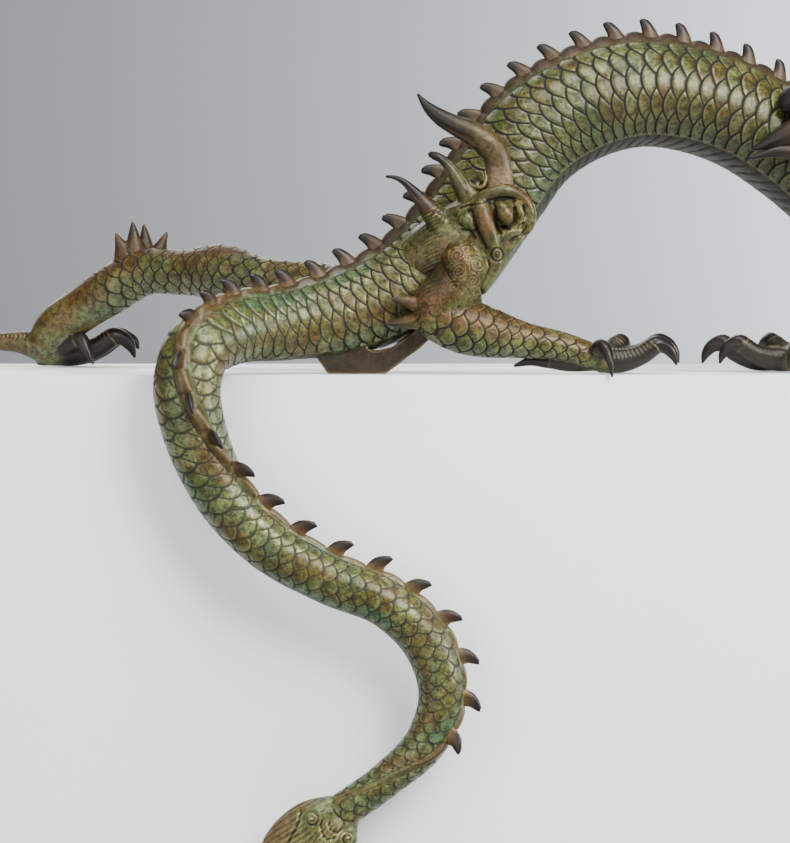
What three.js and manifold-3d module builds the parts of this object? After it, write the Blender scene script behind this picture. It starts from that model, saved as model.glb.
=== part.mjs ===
// A cast bronze dragon on a white display plinth, drawn in millimetres with +Z up.
// The dragon lies along the top front edge of the plinth: its feet stand on the top, its body arches
// above it, and its tail runs over the edge and hangs down in front of the front face.
//
// Everything is placed in the ledge frame: X to the right and Y to the back along the plinth's top,
// Z up, with z = 0 at the top and y = 0 at the front face. The last lines move the whole group so
// that its origin is at the middle of its footprint, on the floor.
import * as THREE from "three";
import { mergeVertices } from "three/addons/utils/BufferGeometryUtils.js";
import Module from "manifold-3d";

const wasm = await Module();
wasm.setup();

// ---------------------------------------------------------------- driving dimensions
const PLINTH = { left: -440, width: 1160, depth: 420, height: 560, wall: 18 };
const STAND_OFF = 0.4; // gap under the soles and the belly bracket

// The dragon's back line from tail to head: x, y, z, radius, and the turn of the spine about the
// line, in degrees: 0 is the upper side of a body that runs to the right, 90 the front.
const BODY = [
  [-50, -42, -390, 16.5, 30],
  [-8, -42, -360, 16.5, 82],
  [30, -44, -322, 19.5, 135],
  [41, -45, -286, 20.3, 175],
  [28, -46, -237, 22, 180],
  [-6, -47, -203, 22, 180],
  [-58, -47, -181, 22.5, 178],
  [-113, -46, -149, 24, 168],
  [-157, -44, -98, 26.5, 145],
  [-179, -43, -46, 29, 110],
  [-185, -40, -8, 30.5, 86],
  [-176, -31, 23, 30.5, 58],
  [-150, -5, 39, 30.5, 24],
  [-98, 28, 45, 32, 3],
  [-40, 46, 56, 38, -3],
  [6, 56, 76, 42, -5],
  [63, 68, 125, 46, -6],
  [92, 77, 166, 46.5, -6],
  [128, 87, 215, 48, -6],
  [181, 93, 247, 48.5, -7],
  [228, 98, 257, 48.5, -9],
  [273, 103, 251, 47.5, -12],
  [318, 107, 235, 47, -14],
  [370, 112, 202, 47, -14],
  [411, 116, 169, 47.5, -12],
  [455, 120, 137, 47.5, -10],
  [502, 122, 116, 47, -7],
  [550, 119, 118, 44, -3],
  [588, 112, 148, 40, 0],
  [606, 104, 196, 35.5, 0],
  [610, 98, 238, 32, 0],
  [620, 92, 276, 29, 0],
];
const BODY_RING_STEP = 24;
const KEEL = 0.15; // height of the keel along the spine, as a share of the radius
// Angles round a body section, from the spine down one side: the keel is narrow, the flanks round.
const SECTION_ANGLES = [0, 9, 16, 46, 79, 112, 146, 180];

// Spines on the keel: their size, and rows of where a run starts and the step, both along the keel.
const SPINE_HORN = { height: 20, foot: 7, lean: 9, clearOfHead: 60 };
const SPINE_RUNS = [
  [128, 38.3],
  [635, 30.7],
];

// ---------------------------------------------------------------- swept solids
// A smooth curve through rows of numbers, run by chord length: returns { length, at(distance) }.
function smoothThrough(rows) {
  const stops = [0];
  for (let i = 1; i < rows.length; i++) {
    const chord = Math.hypot(...[0, 1, 2].map((k) => rows[i][k] - rows[i - 1][k]));
    stops.push(stops[i - 1] + chord);
  }
  const last = rows.length - 1;
  const slope = (i, k) => {
    const before = Math.max(i - 1, 0);
    const after = Math.min(i + 1, last);
    if (i === 0 || i === last) {
      return (rows[after][k] - rows[before][k]) / (stops[after] - stops[before]);
    }
    const left = stops[i] - stops[before];
    const right = stops[after] - stops[i];
    const leftSlope = (rows[i][k] - rows[before][k]) / left;
    const rightSlope = (rows[after][k] - rows[i][k]) / right;
    return (leftSlope * right + rightSlope * left) / (left + right);
  };
  const at = (distance) => {
    const d = Math.min(Math.max(distance, 0), stops[last]);
    let i = 0;
    while (i < last - 1 && stops[i + 1] < d) i++;
    const span = stops[i + 1] - stops[i];
    const t = (d - stops[i]) / span;
    return rows[i].map((from, k) => {
      const to = rows[i + 1][k];
      const a = (2 * t - 3) * t * t + 1;
      const b = ((t - 2) * t + 1) * t * span;
      const c = (3 - 2 * t) * t * t;
      const e = (t - 1) * t * t * span;
      return a * from + b * slope(i, k) + c * to + e * slope(i + 1, k);
    });
  };
  return { length: stops[last], at };
}

// One closed solid from rings of points, each ring with the same number, and a centre for each end.
function loft(rings, startPoint, endPoint) {
  const sides = rings[0].length;
  const points = [startPoint, ...rings.flat(), endPoint];
  const index = [];
  const at = (ring, side) => 1 + ring * sides + (side % sides);
  for (let s = 0; s < sides; s++) {
    index.push(0, at(0, s + 1), at(0, s));
    index.push(points.length - 1, at(rings.length - 1, s), at(rings.length - 1, s + 1));
    for (let r = 0; r < rings.length - 1; r++) {
      index.push(at(r, s), at(r, s + 1), at(r + 1, s + 1));
      index.push(at(r, s), at(r + 1, s + 1), at(r + 1, s));
    }
  }
  const geometry = new THREE.BufferGeometry();
  geometry.setFromPoints(points);
  geometry.setIndex(index);
  return solid(geometry);
}

// A closed three.js geometry as a manifold-3d solid, facing out.
function solid(geometry) {
  const bare = geometry.clone();
  bare.deleteAttribute("normal");
  bare.deleteAttribute("uv");
  const merged = mergeVertices(bare, 1e-4);
  const made = (triVerts) =>
    new wasm.Manifold(
      new wasm.Mesh({
        numProp: 3,
        vertProperties: new Float32Array(merged.attributes.position.array),
        triVerts,
      }),
    );
  const faces = new Uint32Array(merged.index.array);
  const first = made(faces);
  return first.volume() > 0 ? first : made(faces.reverse());
}

// A tapering round limb along rows of x, y, z, radius. flatten narrows it front to back.
function limb(rows, { sides = 10, step = 12, flatten = 1 } = {}) {
  const path = smoothThrough(rows);
  const count = Math.max(3, Math.round(path.length / step));
  const rings = [];
  let across = null;
  for (let i = 0; i <= count; i++) {
    const here = path.at((path.length * i) / count);
    const ahead = path.at((path.length * Math.min(i + 0.5, count)) / count);
    const behind = path.at((path.length * Math.max(i - 0.5, 0)) / count);
    const along = new THREE.Vector3(...[0, 1, 2].map((k) => ahead[k] - behind[k])).normalize();
    if (!across) {
      across = new THREE.Vector3(0, 1, 0).cross(along);
      if (across.length() < 0.2) across.set(0, 0, 1).cross(along);
    }
    across.addScaledVector(along, -across.dot(along)).normalize();
    const up = along.clone().cross(across);
    const centre = new THREE.Vector3(...here);
    const radius = Math.max(here[3], 0.6);
    rings.push(
      Array.from({ length: sides }, (_, s) => {
        const turn = (2 * Math.PI * s) / sides;
        const offset = across.clone().multiplyScalar(radius * Math.cos(turn));
        offset.addScaledVector(up, radius * Math.sin(turn));
        offset.y *= flatten;
        return offset.add(centre);
      }),
    );
  }
  const nose = (row, next) => {
    const end = new THREE.Vector3(...row);
    const out = end.clone().sub(new THREE.Vector3(...next)).normalize();
    return end.addScaledVector(out, row[3] * 0.5);
  };
  return loft(rings, nose(rows[0], rows[1]), nose(rows.at(-1), rows.at(-2)));
}

// ---------------------------------------------------------------- body, keel and spine horns
const bodyPath = smoothThrough(BODY);

// Place and axes at a distance along the body: along it, towards the spine, and across.
function bodyFrame(distance) {
  const here = bodyPath.at(distance);
  const ahead = bodyPath.at(distance + 2);
  const behind = bodyPath.at(distance - 2);
  const along = new THREE.Vector3(...[0, 1, 2].map((k) => ahead[k] - behind[k])).normalize();
  const left = new THREE.Vector3(-along.z, 0, along.x).normalize();
  const turn = THREE.MathUtils.degToRad(here[4]);
  const spine = left.multiplyScalar(Math.cos(turn)).add(new THREE.Vector3(0, -Math.sin(turn), 0));
  spine.addScaledVector(along, -spine.dot(along)).normalize();
  const across = along.clone().cross(spine);
  return { centre: new THREE.Vector3(...here), radius: here[3], along, spine, across };
}

function body() {
  const angles = [...SECTION_ANGLES, ...SECTION_ANGLES.slice(1, -1).reverse().map((a) => -a)];
  const count = Math.round(bodyPath.length / BODY_RING_STEP);
  const rings = [];
  for (let i = 0; i <= count; i++) {
    const frame = bodyFrame((bodyPath.length * i) / count);
    rings.push(
      angles.map((degrees) => {
        const turn = THREE.MathUtils.degToRad(degrees);
        const reach = frame.radius * (Math.abs(degrees) <= 9 ? 1 + KEEL : 1);
        return frame.centre
          .clone()
          .addScaledVector(frame.spine, reach * Math.cos(turn))
          .addScaledVector(frame.across, reach * Math.sin(turn));
      }),
    );
  }
  const first = bodyFrame(0);
  const last = bodyFrame(bodyPath.length);
  const start = first.centre.clone().addScaledVector(first.along, -first.radius / 2);
  const end = last.centre.clone().addScaledVector(last.along, last.radius / 2);
  return loft(rings, start, end);
}

// One hooked horn on the keel: it rises from the keel and leans towards the tail.
function spineHorn(distance) {
  const frame = bodyFrame(distance);
  const { foot, height, lean } = SPINE_HORN;
  const size = Math.min(1, 0.45 + frame.radius / 55);
  const levels = [
    [-0.25, 0, 1],
    [0.5, 0.2, 0.72],
  ];
  const place = ([up, back]) =>
    frame.centre
      .clone()
      .addScaledVector(frame.spine, frame.radius * (1 + KEEL * 0.6) + up * height * size)
      .addScaledVector(frame.along, -back * lean * size);
  const rings = levels.map((level) => {
    const wide = foot * size * level[2];
    const centre = place(level);
    return [
      centre.clone().addScaledVector(frame.along, wide),
      centre.clone().addScaledVector(frame.across, wide * 0.55),
      centre.clone().addScaledVector(frame.along, -wide),
      centre.clone().addScaledVector(frame.across, -wide * 0.55),
    ];
  });
  return loft(rings, place([-0.3, 0]), place([1.04, 1.06]));
}

// Horns along the keel, stepped by the keel's own length, which is longer than the body line's
// outside a bend and shorter inside it.
function spineHorns() {
  const horns = [];
  const runs = [...SPINE_RUNS];
  let run = runs.shift();
  let next = run[0];
  let keelLength = 0;
  let before = null;
  for (let distance = 0; distance < bodyPath.length - SPINE_HORN.clearOfHead; distance++) {
    const { centre, spine, radius } = bodyFrame(distance);
    const crest = centre.addScaledVector(spine, radius * (1 + KEEL));
    if (before) keelLength += crest.distanceTo(before);
    before = crest;
    if (runs.length && next >= runs[0][0] - run[1] / 2) {
      run = runs.shift();
      next = run[0];
    }
    if (keelLength >= next) {
      horns.push(spineHorn(distance));
      next += run[1];
    }
  }
  return horns;
}

// ---------------------------------------------------------------- feet
// A foot in its own axes: forward along X times heading, near side towards the front, up. Two toes
// point forward, one to the front, one to the back of the plinth and one backward.
const TOES = {
  forward: [[0, 0, 12.5, 12], [22, 0, 12, 11], [42, 0, 21, 9], [51, 0, 28, 8.4], [60, 1, 26, 6.2],
    [67, 2, 18, 4], [70, 2, 9, 1]],
  front: [[0, -2, 14, 11], [0, -16, 24, 8.4], [4, -24, 23, 6], [8, -31, 13, 3.8], [10, -34, 3, 1]],
  back: [[0, 4, 14, 10], [14, 22, 18, 8.6], [21, 31, 25, 8], [27, 41, 19, 5], [30, 47, 7, 1.2]],
  lowBack: [[0, 4, 14, 10], [14, 22, 15, 8.6], [21, 31, 18, 8], [27, 41, 14, 5], [30, 47, 5, 1.2]],
  heel: [[-4, 2, 13, 11], [-28, 2, 10, 8.4], [-46, 2, 11, 6.4], [-60, 2, 12, 5], [-77, 2, 7, 1.2]],
  tallHeel: [[-8, 2, 15, 13], [-30, 4, 18, 10], [-52, 5, 22, 8.6], [-66, 5, 27, 8], [-78, 5, 23, 5.4],
    [-88, 5, 11, 1.2]],
};

function foot({ at, heading, scale = 1, pair, heel = "heel", back = "back", clawDrop = 0 }) {
  const placed = (rows, shift = [0, 0, 0]) =>
    rows.map(([f, b, up, r]) => [
      at[0] + heading * scale * (f + shift[0]),
      at[1] + scale * (b + shift[1]),
      Math.max(scale * (up + shift[2]), scale * r) + STAND_OFF,
      scale * r,
    ]);
  const front = placed(TOES.front);
  front.at(-1)[2] -= clawDrop;
  const toes = [placed(TOES.forward), placed(TOES.forward, pair), front, placed(TOES[back])];
  toes.push(placed(TOES[heel]));
  return toes.map((rows) => limb(rows, { sides: 5, step: 13 }));
}

// ---------------------------------------------------------------- legs
const LEGS = [
  {
    name: "near hind",
    shank: [[24, 46, 100, 30], [56, 32, 122, 35], [92, 22, 137, 33], [78, 15, 104, 29], [54, 12, 78, 26],
      [38, 13, 58, 24], [62, 15, 44, 25], [80, 17, 39, 23.5], [116, 22, 31, 16.5], [152, 26, 25, 13],
      [178, 28, 16, 12.5], [190, 28, 13, 12]],
    foot: { at: [185, 28], heading: 1, pair: [3, 17, 2], clawDrop: 5 },
  },
  {
    name: "far hind",
    shank: [[-8, 62, 72, 28], [-40, 112, 78, 21], [-84, 140, 85, 17], [-125, 160, 89, 17],
      [-162, 188, 93, 26], [-203, 215, 92, 21.5], [-240, 235, 92, 22], [-273, 250, 75, 23],
      [-300, 264, 58, 21.5], [-326, 276, 36, 20], [-334, 281, 18, 16]],
    foot: {
      at: [-332, 283],
      heading: 1,
      scale: 1.12,
      pair: [-2, 20, 5],
      heel: "tallHeel",
      back: "lowBack",
    },
  },
  {
    name: "near front",
    shank: [[420, 72, 200, 32], [448, 54, 172, 34], [478, 44, 132, 29], [474, 46, 92, 25], [446, 56, 62, 21],
      [414, 70, 40, 16], [388, 80, 24, 13], [374, 86, 15, 12]],
    foot: { at: [370, 88], heading: -1, pair: [15, 13, 0] },
  },
  {
    name: "far front",
    shank: [[470, 160, 148, 30], [500, 186, 128, 29], [530, 212, 92, 25], [560, 230, 62, 20],
      [590, 240, 38, 15], [612, 245, 20, 13], [622, 246, 14, 12]],
    foot: { at: [618, 247], heading: 1, pair: [3, 17, 2] },
  },
];

// Horn-like flames that stream back from the hips and elbows: rows of x, y, z, radius.
const FLAMES = [
  [[88, 22, 140, 14], [93, 8, 176, 13], [88, 4, 200, 10.8], [77, 2, 213, 9], [61, 0, 223, 7.8],
    [45, 0, 231, 6.2], [22, 0, 249, 1.1]],
  [[68, 22, 140, 13], [57, 5, 178, 7.6], [49, 3, 188, 5.4], [40, 2, 194, 4], [31, 1, 198, 2.2]],
  [[46, 26, 124, 13], [23, 9, 156, 7.8], [15, 6, 165, 5.6], [6, 4, 172, 3.8], [-9, 2, 178, 1.1]],
  [[44, 14, 62, 14], [20, 8, 60, 7], [-1, 4, 66, 1.4]],
  [[44, 14, 50, 14], [18, 10, 48, 7], [-6, 8, 48, 1.4]],
  [[-258, 240, 102, 14], [-262, 238, 116, 7], [-268, 235, 128, 1.8]],
  [[-248, 240, 104, 14], [-250, 240, 124, 7], [-251, 240, 139, 1.8]],
  [[-240, 246, 104, 14], [-241, 250, 122, 6.5], [-241, 252, 137, 1.8]],
  [[-230, 236, 102, 14], [-225, 236, 116, 7], [-219, 235, 129, 1.8]],
  [[418, 66, 226, 22], [392, 60, 242, 19], [362, 58, 248, 15]],
  [[420, 62, 206, 22], [372, 52, 222, 14], [346, 50, 212, 8], [325, 50, 204, 1.4]],
  [[424, 56, 182, 20], [384, 48, 196, 9], [352, 46, 202, 6], [322, 46, 196, 1.2]],
  [[488, 46, 118, 18], [512, 40, 108, 8], [536, 38, 112, 1.4]],
  [[488, 46, 104, 18], [510, 42, 92, 8], [530, 40, 88, 1.4]],
];

function legs() {
  return LEGS.flatMap((leg) => [limb(leg.shank, { sides: 9, step: 21 }), ...foot(leg.foot)]);
}

// ---------------------------------------------------------------- head and tail tuft
const HEAD = {
  skull: [[600, 96, 262, 24], [622, 90, 282, 30], [646, 83, 288, 27], [668, 77, 280, 21],
    [692, 70, 272, 18], [708, 65, 272, 16], [717, 62, 268, 10]],
  jaw: [[620, 90, 262, 21], [644, 83, 250, 15], [668, 77, 241, 11.5], [690, 70, 238, 9.5],
    [702, 67, 240, 7]],
  nearHorn: [[628, 72, 304, 8], [606, 62, 322, 6.6], [580, 56, 332, 5.4], [552, 52, 348, 1.4]],
  farHorn: [[640, 106, 304, 8], [622, 118, 322, 6.6], [598, 126, 332, 5.4], [572, 130, 348, 1.4]],
  nearTine: [[592, 59, 328, 5], [580, 54, 342, 3.6], [576, 50, 356, 1.2]],
  farTine: [[610, 122, 328, 5], [600, 130, 342, 3.6], [598, 134, 356, 1.2]],
  mane: [
    [[618, 72, 276, 15], [592, 54, 284, 9], [564, 44, 300, 1.4]],
    [[616, 70, 262, 15], [588, 52, 262, 9], [556, 44, 270, 1.4]],
    [[620, 72, 246, 14], [594, 56, 238, 8], [566, 48, 240, 1.4]],
    [[634, 114, 276, 15], [614, 130, 284, 9], [590, 142, 300, 1.4]],
    [[632, 114, 262, 15], [610, 132, 262, 9], [582, 144, 270, 1.4]],
    [[634, 112, 246, 14], [614, 128, 238, 8], [590, 138, 240, 1.4]],
  ],
  beard: [
    [[668, 77, 236, 9], [660, 76, 218, 6], [646, 76, 204, 1.2]],
    [[688, 71, 234, 8], [684, 68, 218, 5], [674, 66, 206, 1.2]],
  ],
  whiskers: [
    [[704, 54, 268, 5], [720, 42, 264, 3.4], [734, 34, 244, 2.8], [730, 30, 220, 1.6]],
    [[710, 76, 268, 5], [730, 84, 264, 3.4], [744, 92, 244, 2.8], [742, 96, 220, 1.6]],
  ],
};

const TUFT = [
  [[-50, -42, -388, 16], [-76, -43, -402, 23], [-98, -44, -426, 23], [-108, -43, -458, 16], [-98, -42, -500, 2]],
  [[-46, -42, -388, 15], [-62, -46, -416, 23], [-68, -46, -446, 19], [-60, -44, -486, 10], [-68, -42, -520, 1.6]],
  [[-42, -42, -386, 13], [-38, -43, -408, 14.5], [-38, -44, -438, 14], [-27, -43, -470, 9], [-10, -42, -496, 1.6]],
];

function head() {
  const round = [HEAD.skull, HEAD.jaw].map((rows) => limb(rows, { sides: 10, step: 17 }));
  const thin = [HEAD.nearHorn, HEAD.farHorn, HEAD.nearTine, HEAD.farTine, ...HEAD.mane, ...HEAD.beard];
  return [...round, ...[...thin, ...HEAD.whiskers].map((rows) => limb(rows, { sides: 4, step: 17 }))];
}

function tuft() {
  return TUFT.map((rows) => limb(rows, { sides: 8, step: 22, flatten: 0.8 }));
}

// ---------------------------------------------------------------- belly bracket
// The flat plate cast under the belly that stands at the plinth's edge, with one arm that reaches
// back up to the near hind leg.
const BRACKET = { thickness: 12, back: 40 };

function bracket() {
  const outline = new THREE.Shape();
  outline.moveTo(-61, STAND_OFF);
  outline.lineTo(-8, STAND_OFF);
  outline.lineTo(44, 42);
  outline.lineTo(30, 52);
  outline.quadraticCurveTo(4, 23, -18, 21);
  outline.quadraticCurveTo(-28, 22, -22, 34);
  outline.lineTo(-40, 50);
  outline.lineTo(-84, 34);
  outline.lineTo(-70, 13);
  const plate = new THREE.ExtrudeGeometry(outline, {
    depth: BRACKET.thickness,
    bevelEnabled: false,
    curveSegments: 5,
  });
  plate.rotateX(Math.PI / 2);
  plate.translate(0, BRACKET.back, 0);
  return solid(plate);
}

// ---------------------------------------------------------------- plinth
// A board plinth: four sides and a top of one thickness, open underneath.
function plinth() {
  const { left, width, depth, height, wall } = PLINTH;
  const outer = new THREE.BoxGeometry(width, depth, height);
  outer.translate(left + width / 2, depth / 2, -height / 2);
  const inner = new THREE.BoxGeometry(width - 2 * wall, depth - 2 * wall, height);
  inner.translate(left + width / 2, depth / 2, -height / 2 - wall);
  return solid(outer).subtract(solid(inner));
}

// ---------------------------------------------------------------- the scene graph
function meshOf(shape, name, colour, roughness, metalness) {
  const data = shape.getMesh();
  const geometry = new THREE.BufferGeometry();
  geometry.setAttribute("position", new THREE.BufferAttribute(data.vertProperties, 3));
  geometry.setIndex(new THREE.BufferAttribute(data.triVerts, 1));
  geometry.computeVertexNormals();
  const material = new THREE.MeshStandardMaterial({ color: colour, roughness, metalness });
  const mesh = new THREE.Mesh(geometry, material);
  mesh.name = name;
  return mesh;
}

const pieces = [
  body(),
  ...spineHorns(),
  ...legs(),
  ...FLAMES.map((rows) => limb(rows, { sides: 5, step: 16 })),
  ...head(),
  ...tuft(),
  bracket(),
];
const dragonSolid = pieces.reduce((whole, piece) => whole.add(piece));

const group = new THREE.Group();
group.add(meshOf(dragonSolid, "dragon", 0x7d8a5a, 0.4, 0.6));
group.add(meshOf(plinth(), "plinth", 0xe6e8e8, 0.7, 0));

// Origin: the middle of the footprint, on the floor.
const bounds = new THREE.Box3().setFromObject(group);
const middle = bounds.getCenter(new THREE.Vector3());
for (const mesh of group.children) mesh.position.set(-middle.x, -middle.y, -bounds.min.z);

export default group;
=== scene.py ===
"""Looks for the cast bronze dragon on its white plinth.

Everything is modelled in millimetres in the ledge frame of the part: X to the right and Y to the
back along the plinth's top, Z up, zero at the plinth's top front edge. ledge_to_row() moves a mesh
from there to the row frame in metres.
"""
import math

import bpy
import numpy as np
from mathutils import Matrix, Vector
from mathutils.geometry import tessellate_polygon


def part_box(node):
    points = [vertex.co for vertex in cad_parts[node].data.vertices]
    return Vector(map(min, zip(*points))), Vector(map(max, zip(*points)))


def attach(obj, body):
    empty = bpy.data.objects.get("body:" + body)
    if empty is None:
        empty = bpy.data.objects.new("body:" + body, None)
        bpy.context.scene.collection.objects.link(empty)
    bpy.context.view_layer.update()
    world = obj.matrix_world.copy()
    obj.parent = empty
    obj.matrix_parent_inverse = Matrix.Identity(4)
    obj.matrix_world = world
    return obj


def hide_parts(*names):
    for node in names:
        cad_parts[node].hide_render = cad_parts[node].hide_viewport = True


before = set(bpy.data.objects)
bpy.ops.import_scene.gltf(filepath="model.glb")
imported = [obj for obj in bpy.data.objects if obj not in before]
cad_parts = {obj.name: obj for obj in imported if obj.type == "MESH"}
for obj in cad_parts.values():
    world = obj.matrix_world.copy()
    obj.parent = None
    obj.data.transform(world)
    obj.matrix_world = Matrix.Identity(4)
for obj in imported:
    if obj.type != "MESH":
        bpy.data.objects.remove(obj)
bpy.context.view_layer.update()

# ---------------------------------------------------------------- sizes, millimetres
PLINTH_LEFT = -440  # x of the plinth's left end in the ledge frame

# The dragon's back line from tail to head: x, y, z, radius, and the turn of the spine about the
# line, in degrees: 0 is the upper side of a body that runs to the right, 90 the front.
BODY = [
    (-50, -42, -390, 16.5, 30), (-8, -42, -360, 16.5, 82), (30, -44, -322, 19.5, 135),
    (41, -45, -286, 20.3, 175), (28, -46, -237, 22, 180), (-6, -47, -203, 22, 180),
    (-58, -47, -181, 22.5, 178), (-113, -46, -149, 24, 168), (-157, -44, -98, 26.5, 145),
    (-179, -43, -46, 29, 110), (-185, -40, -8, 30.5, 86), (-176, -31, 23, 30.5, 58),
    (-150, -5, 39, 30.5, 24), (-98, 28, 45, 32, 3), (-40, 46, 56, 38, -3), (6, 56, 76, 42, -5),
    (63, 68, 125, 46, -6), (92, 77, 166, 46.5, -6), (128, 87, 215, 48, -6), (181, 93, 247, 48.5, -7),
    (228, 98, 257, 48.5, -9), (273, 103, 251, 47.5, -12), (318, 107, 235, 47, -14),
    (370, 112, 202, 47, -14), (411, 116, 169, 47.5, -12), (455, 120, 137, 47.5, -10),
    (502, 122, 116, 47, -7), (550, 119, 118, 44, -3), (588, 112, 148, 40, 0), (606, 104, 196, 35.5, 0),
    (610, 98, 238, 32, 0), (620, 92, 276, 29, 0),
]

FRONT = np.array([0.0, -1.0, 0.0])  # towards the side that the plinth's front face looks to
CREST_HALF = [(0, 12), (560, 17), (760, 24)]  # half the angle of the crest strip: distance, degrees
CREST_TOP = 1.15  # the line through the spines' roots, as a share of the body's radius
# The first row's place at the crest strip's edge: distance, rows.
ROW_START = [(0, 0.33), (560, 0.43), (760, 0.5)]
BELLY_FROM = math.radians(151)  # where the belly plates start, from the spine
BELLY_RELIEF, BELLY_RIM = 1.7, 1.6  # the belly plates and the rim beside them
PLATE_RATE, PLATE_SLANT = 0.9, 2.6  # belly plates to a pitch of the scales, and by how much they slant
SKIN_INSET = 0.9  # how far the skin starts inside the CAD's surface, so that its relief ends near it
SECTION_SIDES = 160

# Angle that a row of scales takes round the body, in degrees, by the body's radius.
ROW_ANGLE = [(16.5, 36), (20.5, 31), (22, 33), (25, 38), (29, 42), (33, 35), (38, 31), (48, 25.4)]
# Pitch of the scales along the body line: distance, pitch.
SCALE_PITCH = [(0, 12.0), (300, 13.6), (560, 14.0), (700, 12.4), (900, 13.2), (1050, 13.5), (1700, 13.5)]
# How far a row of scales leads the row above it, in pitches: distance, lead.
SCALE_LEAD = [(0, 0.0), (380, 0.05), (490, 0.36), (600, 0.38), (700, 0.3), (900, 0.3), (1080, 0.08),
              (1700, 0.05)]
SCALE_ARC = 0.95  # depth of a scale's rounded end, in pitches, one row away from its middle
SCALE_RELIEF = 1.7
SCALE_DOME = 0.45  # how much lower a scale is one row away from its middle, as a share of the relief
GROOVE_IN, GROOVE_OUT = 0.13, 0.09  # the groove's width inside and outside a scale's edge, in pitches

# Spines on the crest: rows of where a run starts and the step, both along the crest.
SPINE_RUNS = [(128, 38.3), (631.3, 30.7), (1154, 32.1)]
SPINES_END = 60  # clear of the head
CREST_LIFT, HUMP_LIFT = 0.10, 0.11  # the crest and the humps on it, as shares of the body's radius
# A spine from its root up: height, how far it leans to the tail, half its length, half its thickness.
ARCH_SPINE = [(-3, -0.8, 10.4, 5.4), (0, -0.5, 9, 4.9), (3, 0.2, 7.8, 4.5), (6, 1.1, 7, 4.2),
              (8.8, 2.2, 6.4, 4), (13.2, 4.5, 5.5, 3.6), (15.6, 5.8, 4.6, 3), (17.2, 6.5, 3, 2.1),
              (17.8, 6.8, 0.9, 0.7)]
TAIL_SPINE = [(-3, -0.4, 9.2, 4), (0, 0, 8.6, 3.7), (5, 1.2, 7.5, 3.2), (8.4, 3.1, 7.4, 2.9),
              (11.5, 5.5, 6.5, 2.5), (13.4, 7.5, 5.4, 2.1), (14.6, 8.7, 3.9, 1.6), (15.4, 8.8, 1.6, 0.9),
              (15.6, 8.8, 0.5, 0.3)]
# Stretches of the body over which something sets in or ends: the crest at the tuft, the level part
# along the plinth, what belongs to the part above the plinth, and the painted shade over the arch.
CREST_SETS_IN, ABOVE_SETS_IN, ARCH_SHADE_SETS_IN = (40, 110), (640, 760), (850, 1000)
LEVEL_SETS_IN, LEVEL_ENDS = (540, 600), (860, 760)
SPINE_SINK = 0.8  # how deep a spine's foot sits in the crest
TAIL_SPINES_TO = (620, 760)  # distances along the body where one kind of spine turns into the other


# ---------------------------------------------------------------- curves
class Path:
    """A smooth curve through rows of numbers, run by chord length."""

    def __init__(self, rows):
        self.rows = np.array(rows, float)
        chords = np.linalg.norm(np.diff(self.rows[:, :3], axis=0), axis=1)
        self.stops = np.concatenate([[0], np.cumsum(chords)])
        self.length = self.stops[-1]
        steps = np.diff(self.rows, axis=0) / chords[:, None]
        inner = (steps[:-1] * chords[1:, None] + steps[1:] * chords[:-1, None]) / (
            chords[1:] + chords[:-1]
        )[:, None]
        self.slopes = np.vstack([steps[:1], inner, steps[-1:]])

    def at(self, distance):
        d = np.clip(np.asarray(distance, float), 0, self.length)
        i = np.clip(np.searchsorted(self.stops, d, side="right") - 1, 0, len(self.rows) - 2)
        span = self.stops[i + 1] - self.stops[i]
        t = ((d - self.stops[i]) / span)[..., None]
        span = span[..., None]
        return (
            ((2 * t - 3) * t * t + 1) * self.rows[i]
            + ((t - 2) * t + 1) * t * span * self.slopes[i]
            + (3 - 2 * t) * t * t * self.rows[i + 1]
            + (t - 1) * t * t * span * self.slopes[i + 1]
        )


def unit(v):
    return v / np.linalg.norm(v, axis=-1, keepdims=True)


BODY_PATH = Path(BODY)


def body_frames(distance):
    """Centre, radius, and the axes along, to the spine and across, at each distance."""
    here = BODY_PATH.at(distance)
    along = unit((BODY_PATH.at(distance + 2) - BODY_PATH.at(distance - 2))[..., :3])
    left = unit(np.stack([-along[..., 2], 0 * along[..., 0], along[..., 0]], -1))
    turn = np.radians(here[..., 4])[..., None]
    spine = left * np.cos(turn) + FRONT * np.sin(turn)
    spine = unit(spine - along * np.sum(spine * along, -1, keepdims=True))
    return here[..., :3], here[..., 3], along, spine, np.cross(along, spine)


def smoothstep(low, high, x):
    t = np.clip((x - low) / (high - low), 0, 1)
    return t * t * (3 - 2 * t)


def bell(x):
    """1 at 0, fading to 0 on both sides by about 2."""
    return np.exp(-(x**2))


def table(rows, x):
    xs, ys = zip(*rows)
    return np.interp(x, xs, ys)


# Distances along the body at which the crest's length is measured.
CREST_AT = np.arange(0, BODY_PATH.length, 1.0)


def crest_line():
    """The crest's length up to each of these distances."""
    centre, radius, _, spine, _ = body_frames(CREST_AT)
    crest = centre + spine * radius[:, None] * CREST_TOP
    return np.concatenate([[0], np.cumsum(np.linalg.norm(np.diff(crest, axis=0), axis=1))])


CREST_LENGTH = crest_line()


def spine_places():
    """Distances along the body where a spine stands."""
    places = []
    ends = [run[0] - SPINE_RUNS[0][1] / 2 for run in SPINE_RUNS[1:]] + [CREST_LENGTH[-1]]
    for (start, pitch), end in zip(SPINE_RUNS, ends):
        places += list(np.arange(start, end, pitch))
    places = np.interp(places, CREST_LENGTH, CREST_AT)
    return places[places < BODY_PATH.length - SPINES_END]


SPINES = spine_places()


def crest_share(distance):
    """How much of the crest's rise there is at a distance: less towards the tuft."""
    return 0.35 + 0.65 * smoothstep(*CREST_SETS_IN, distance)


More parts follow.
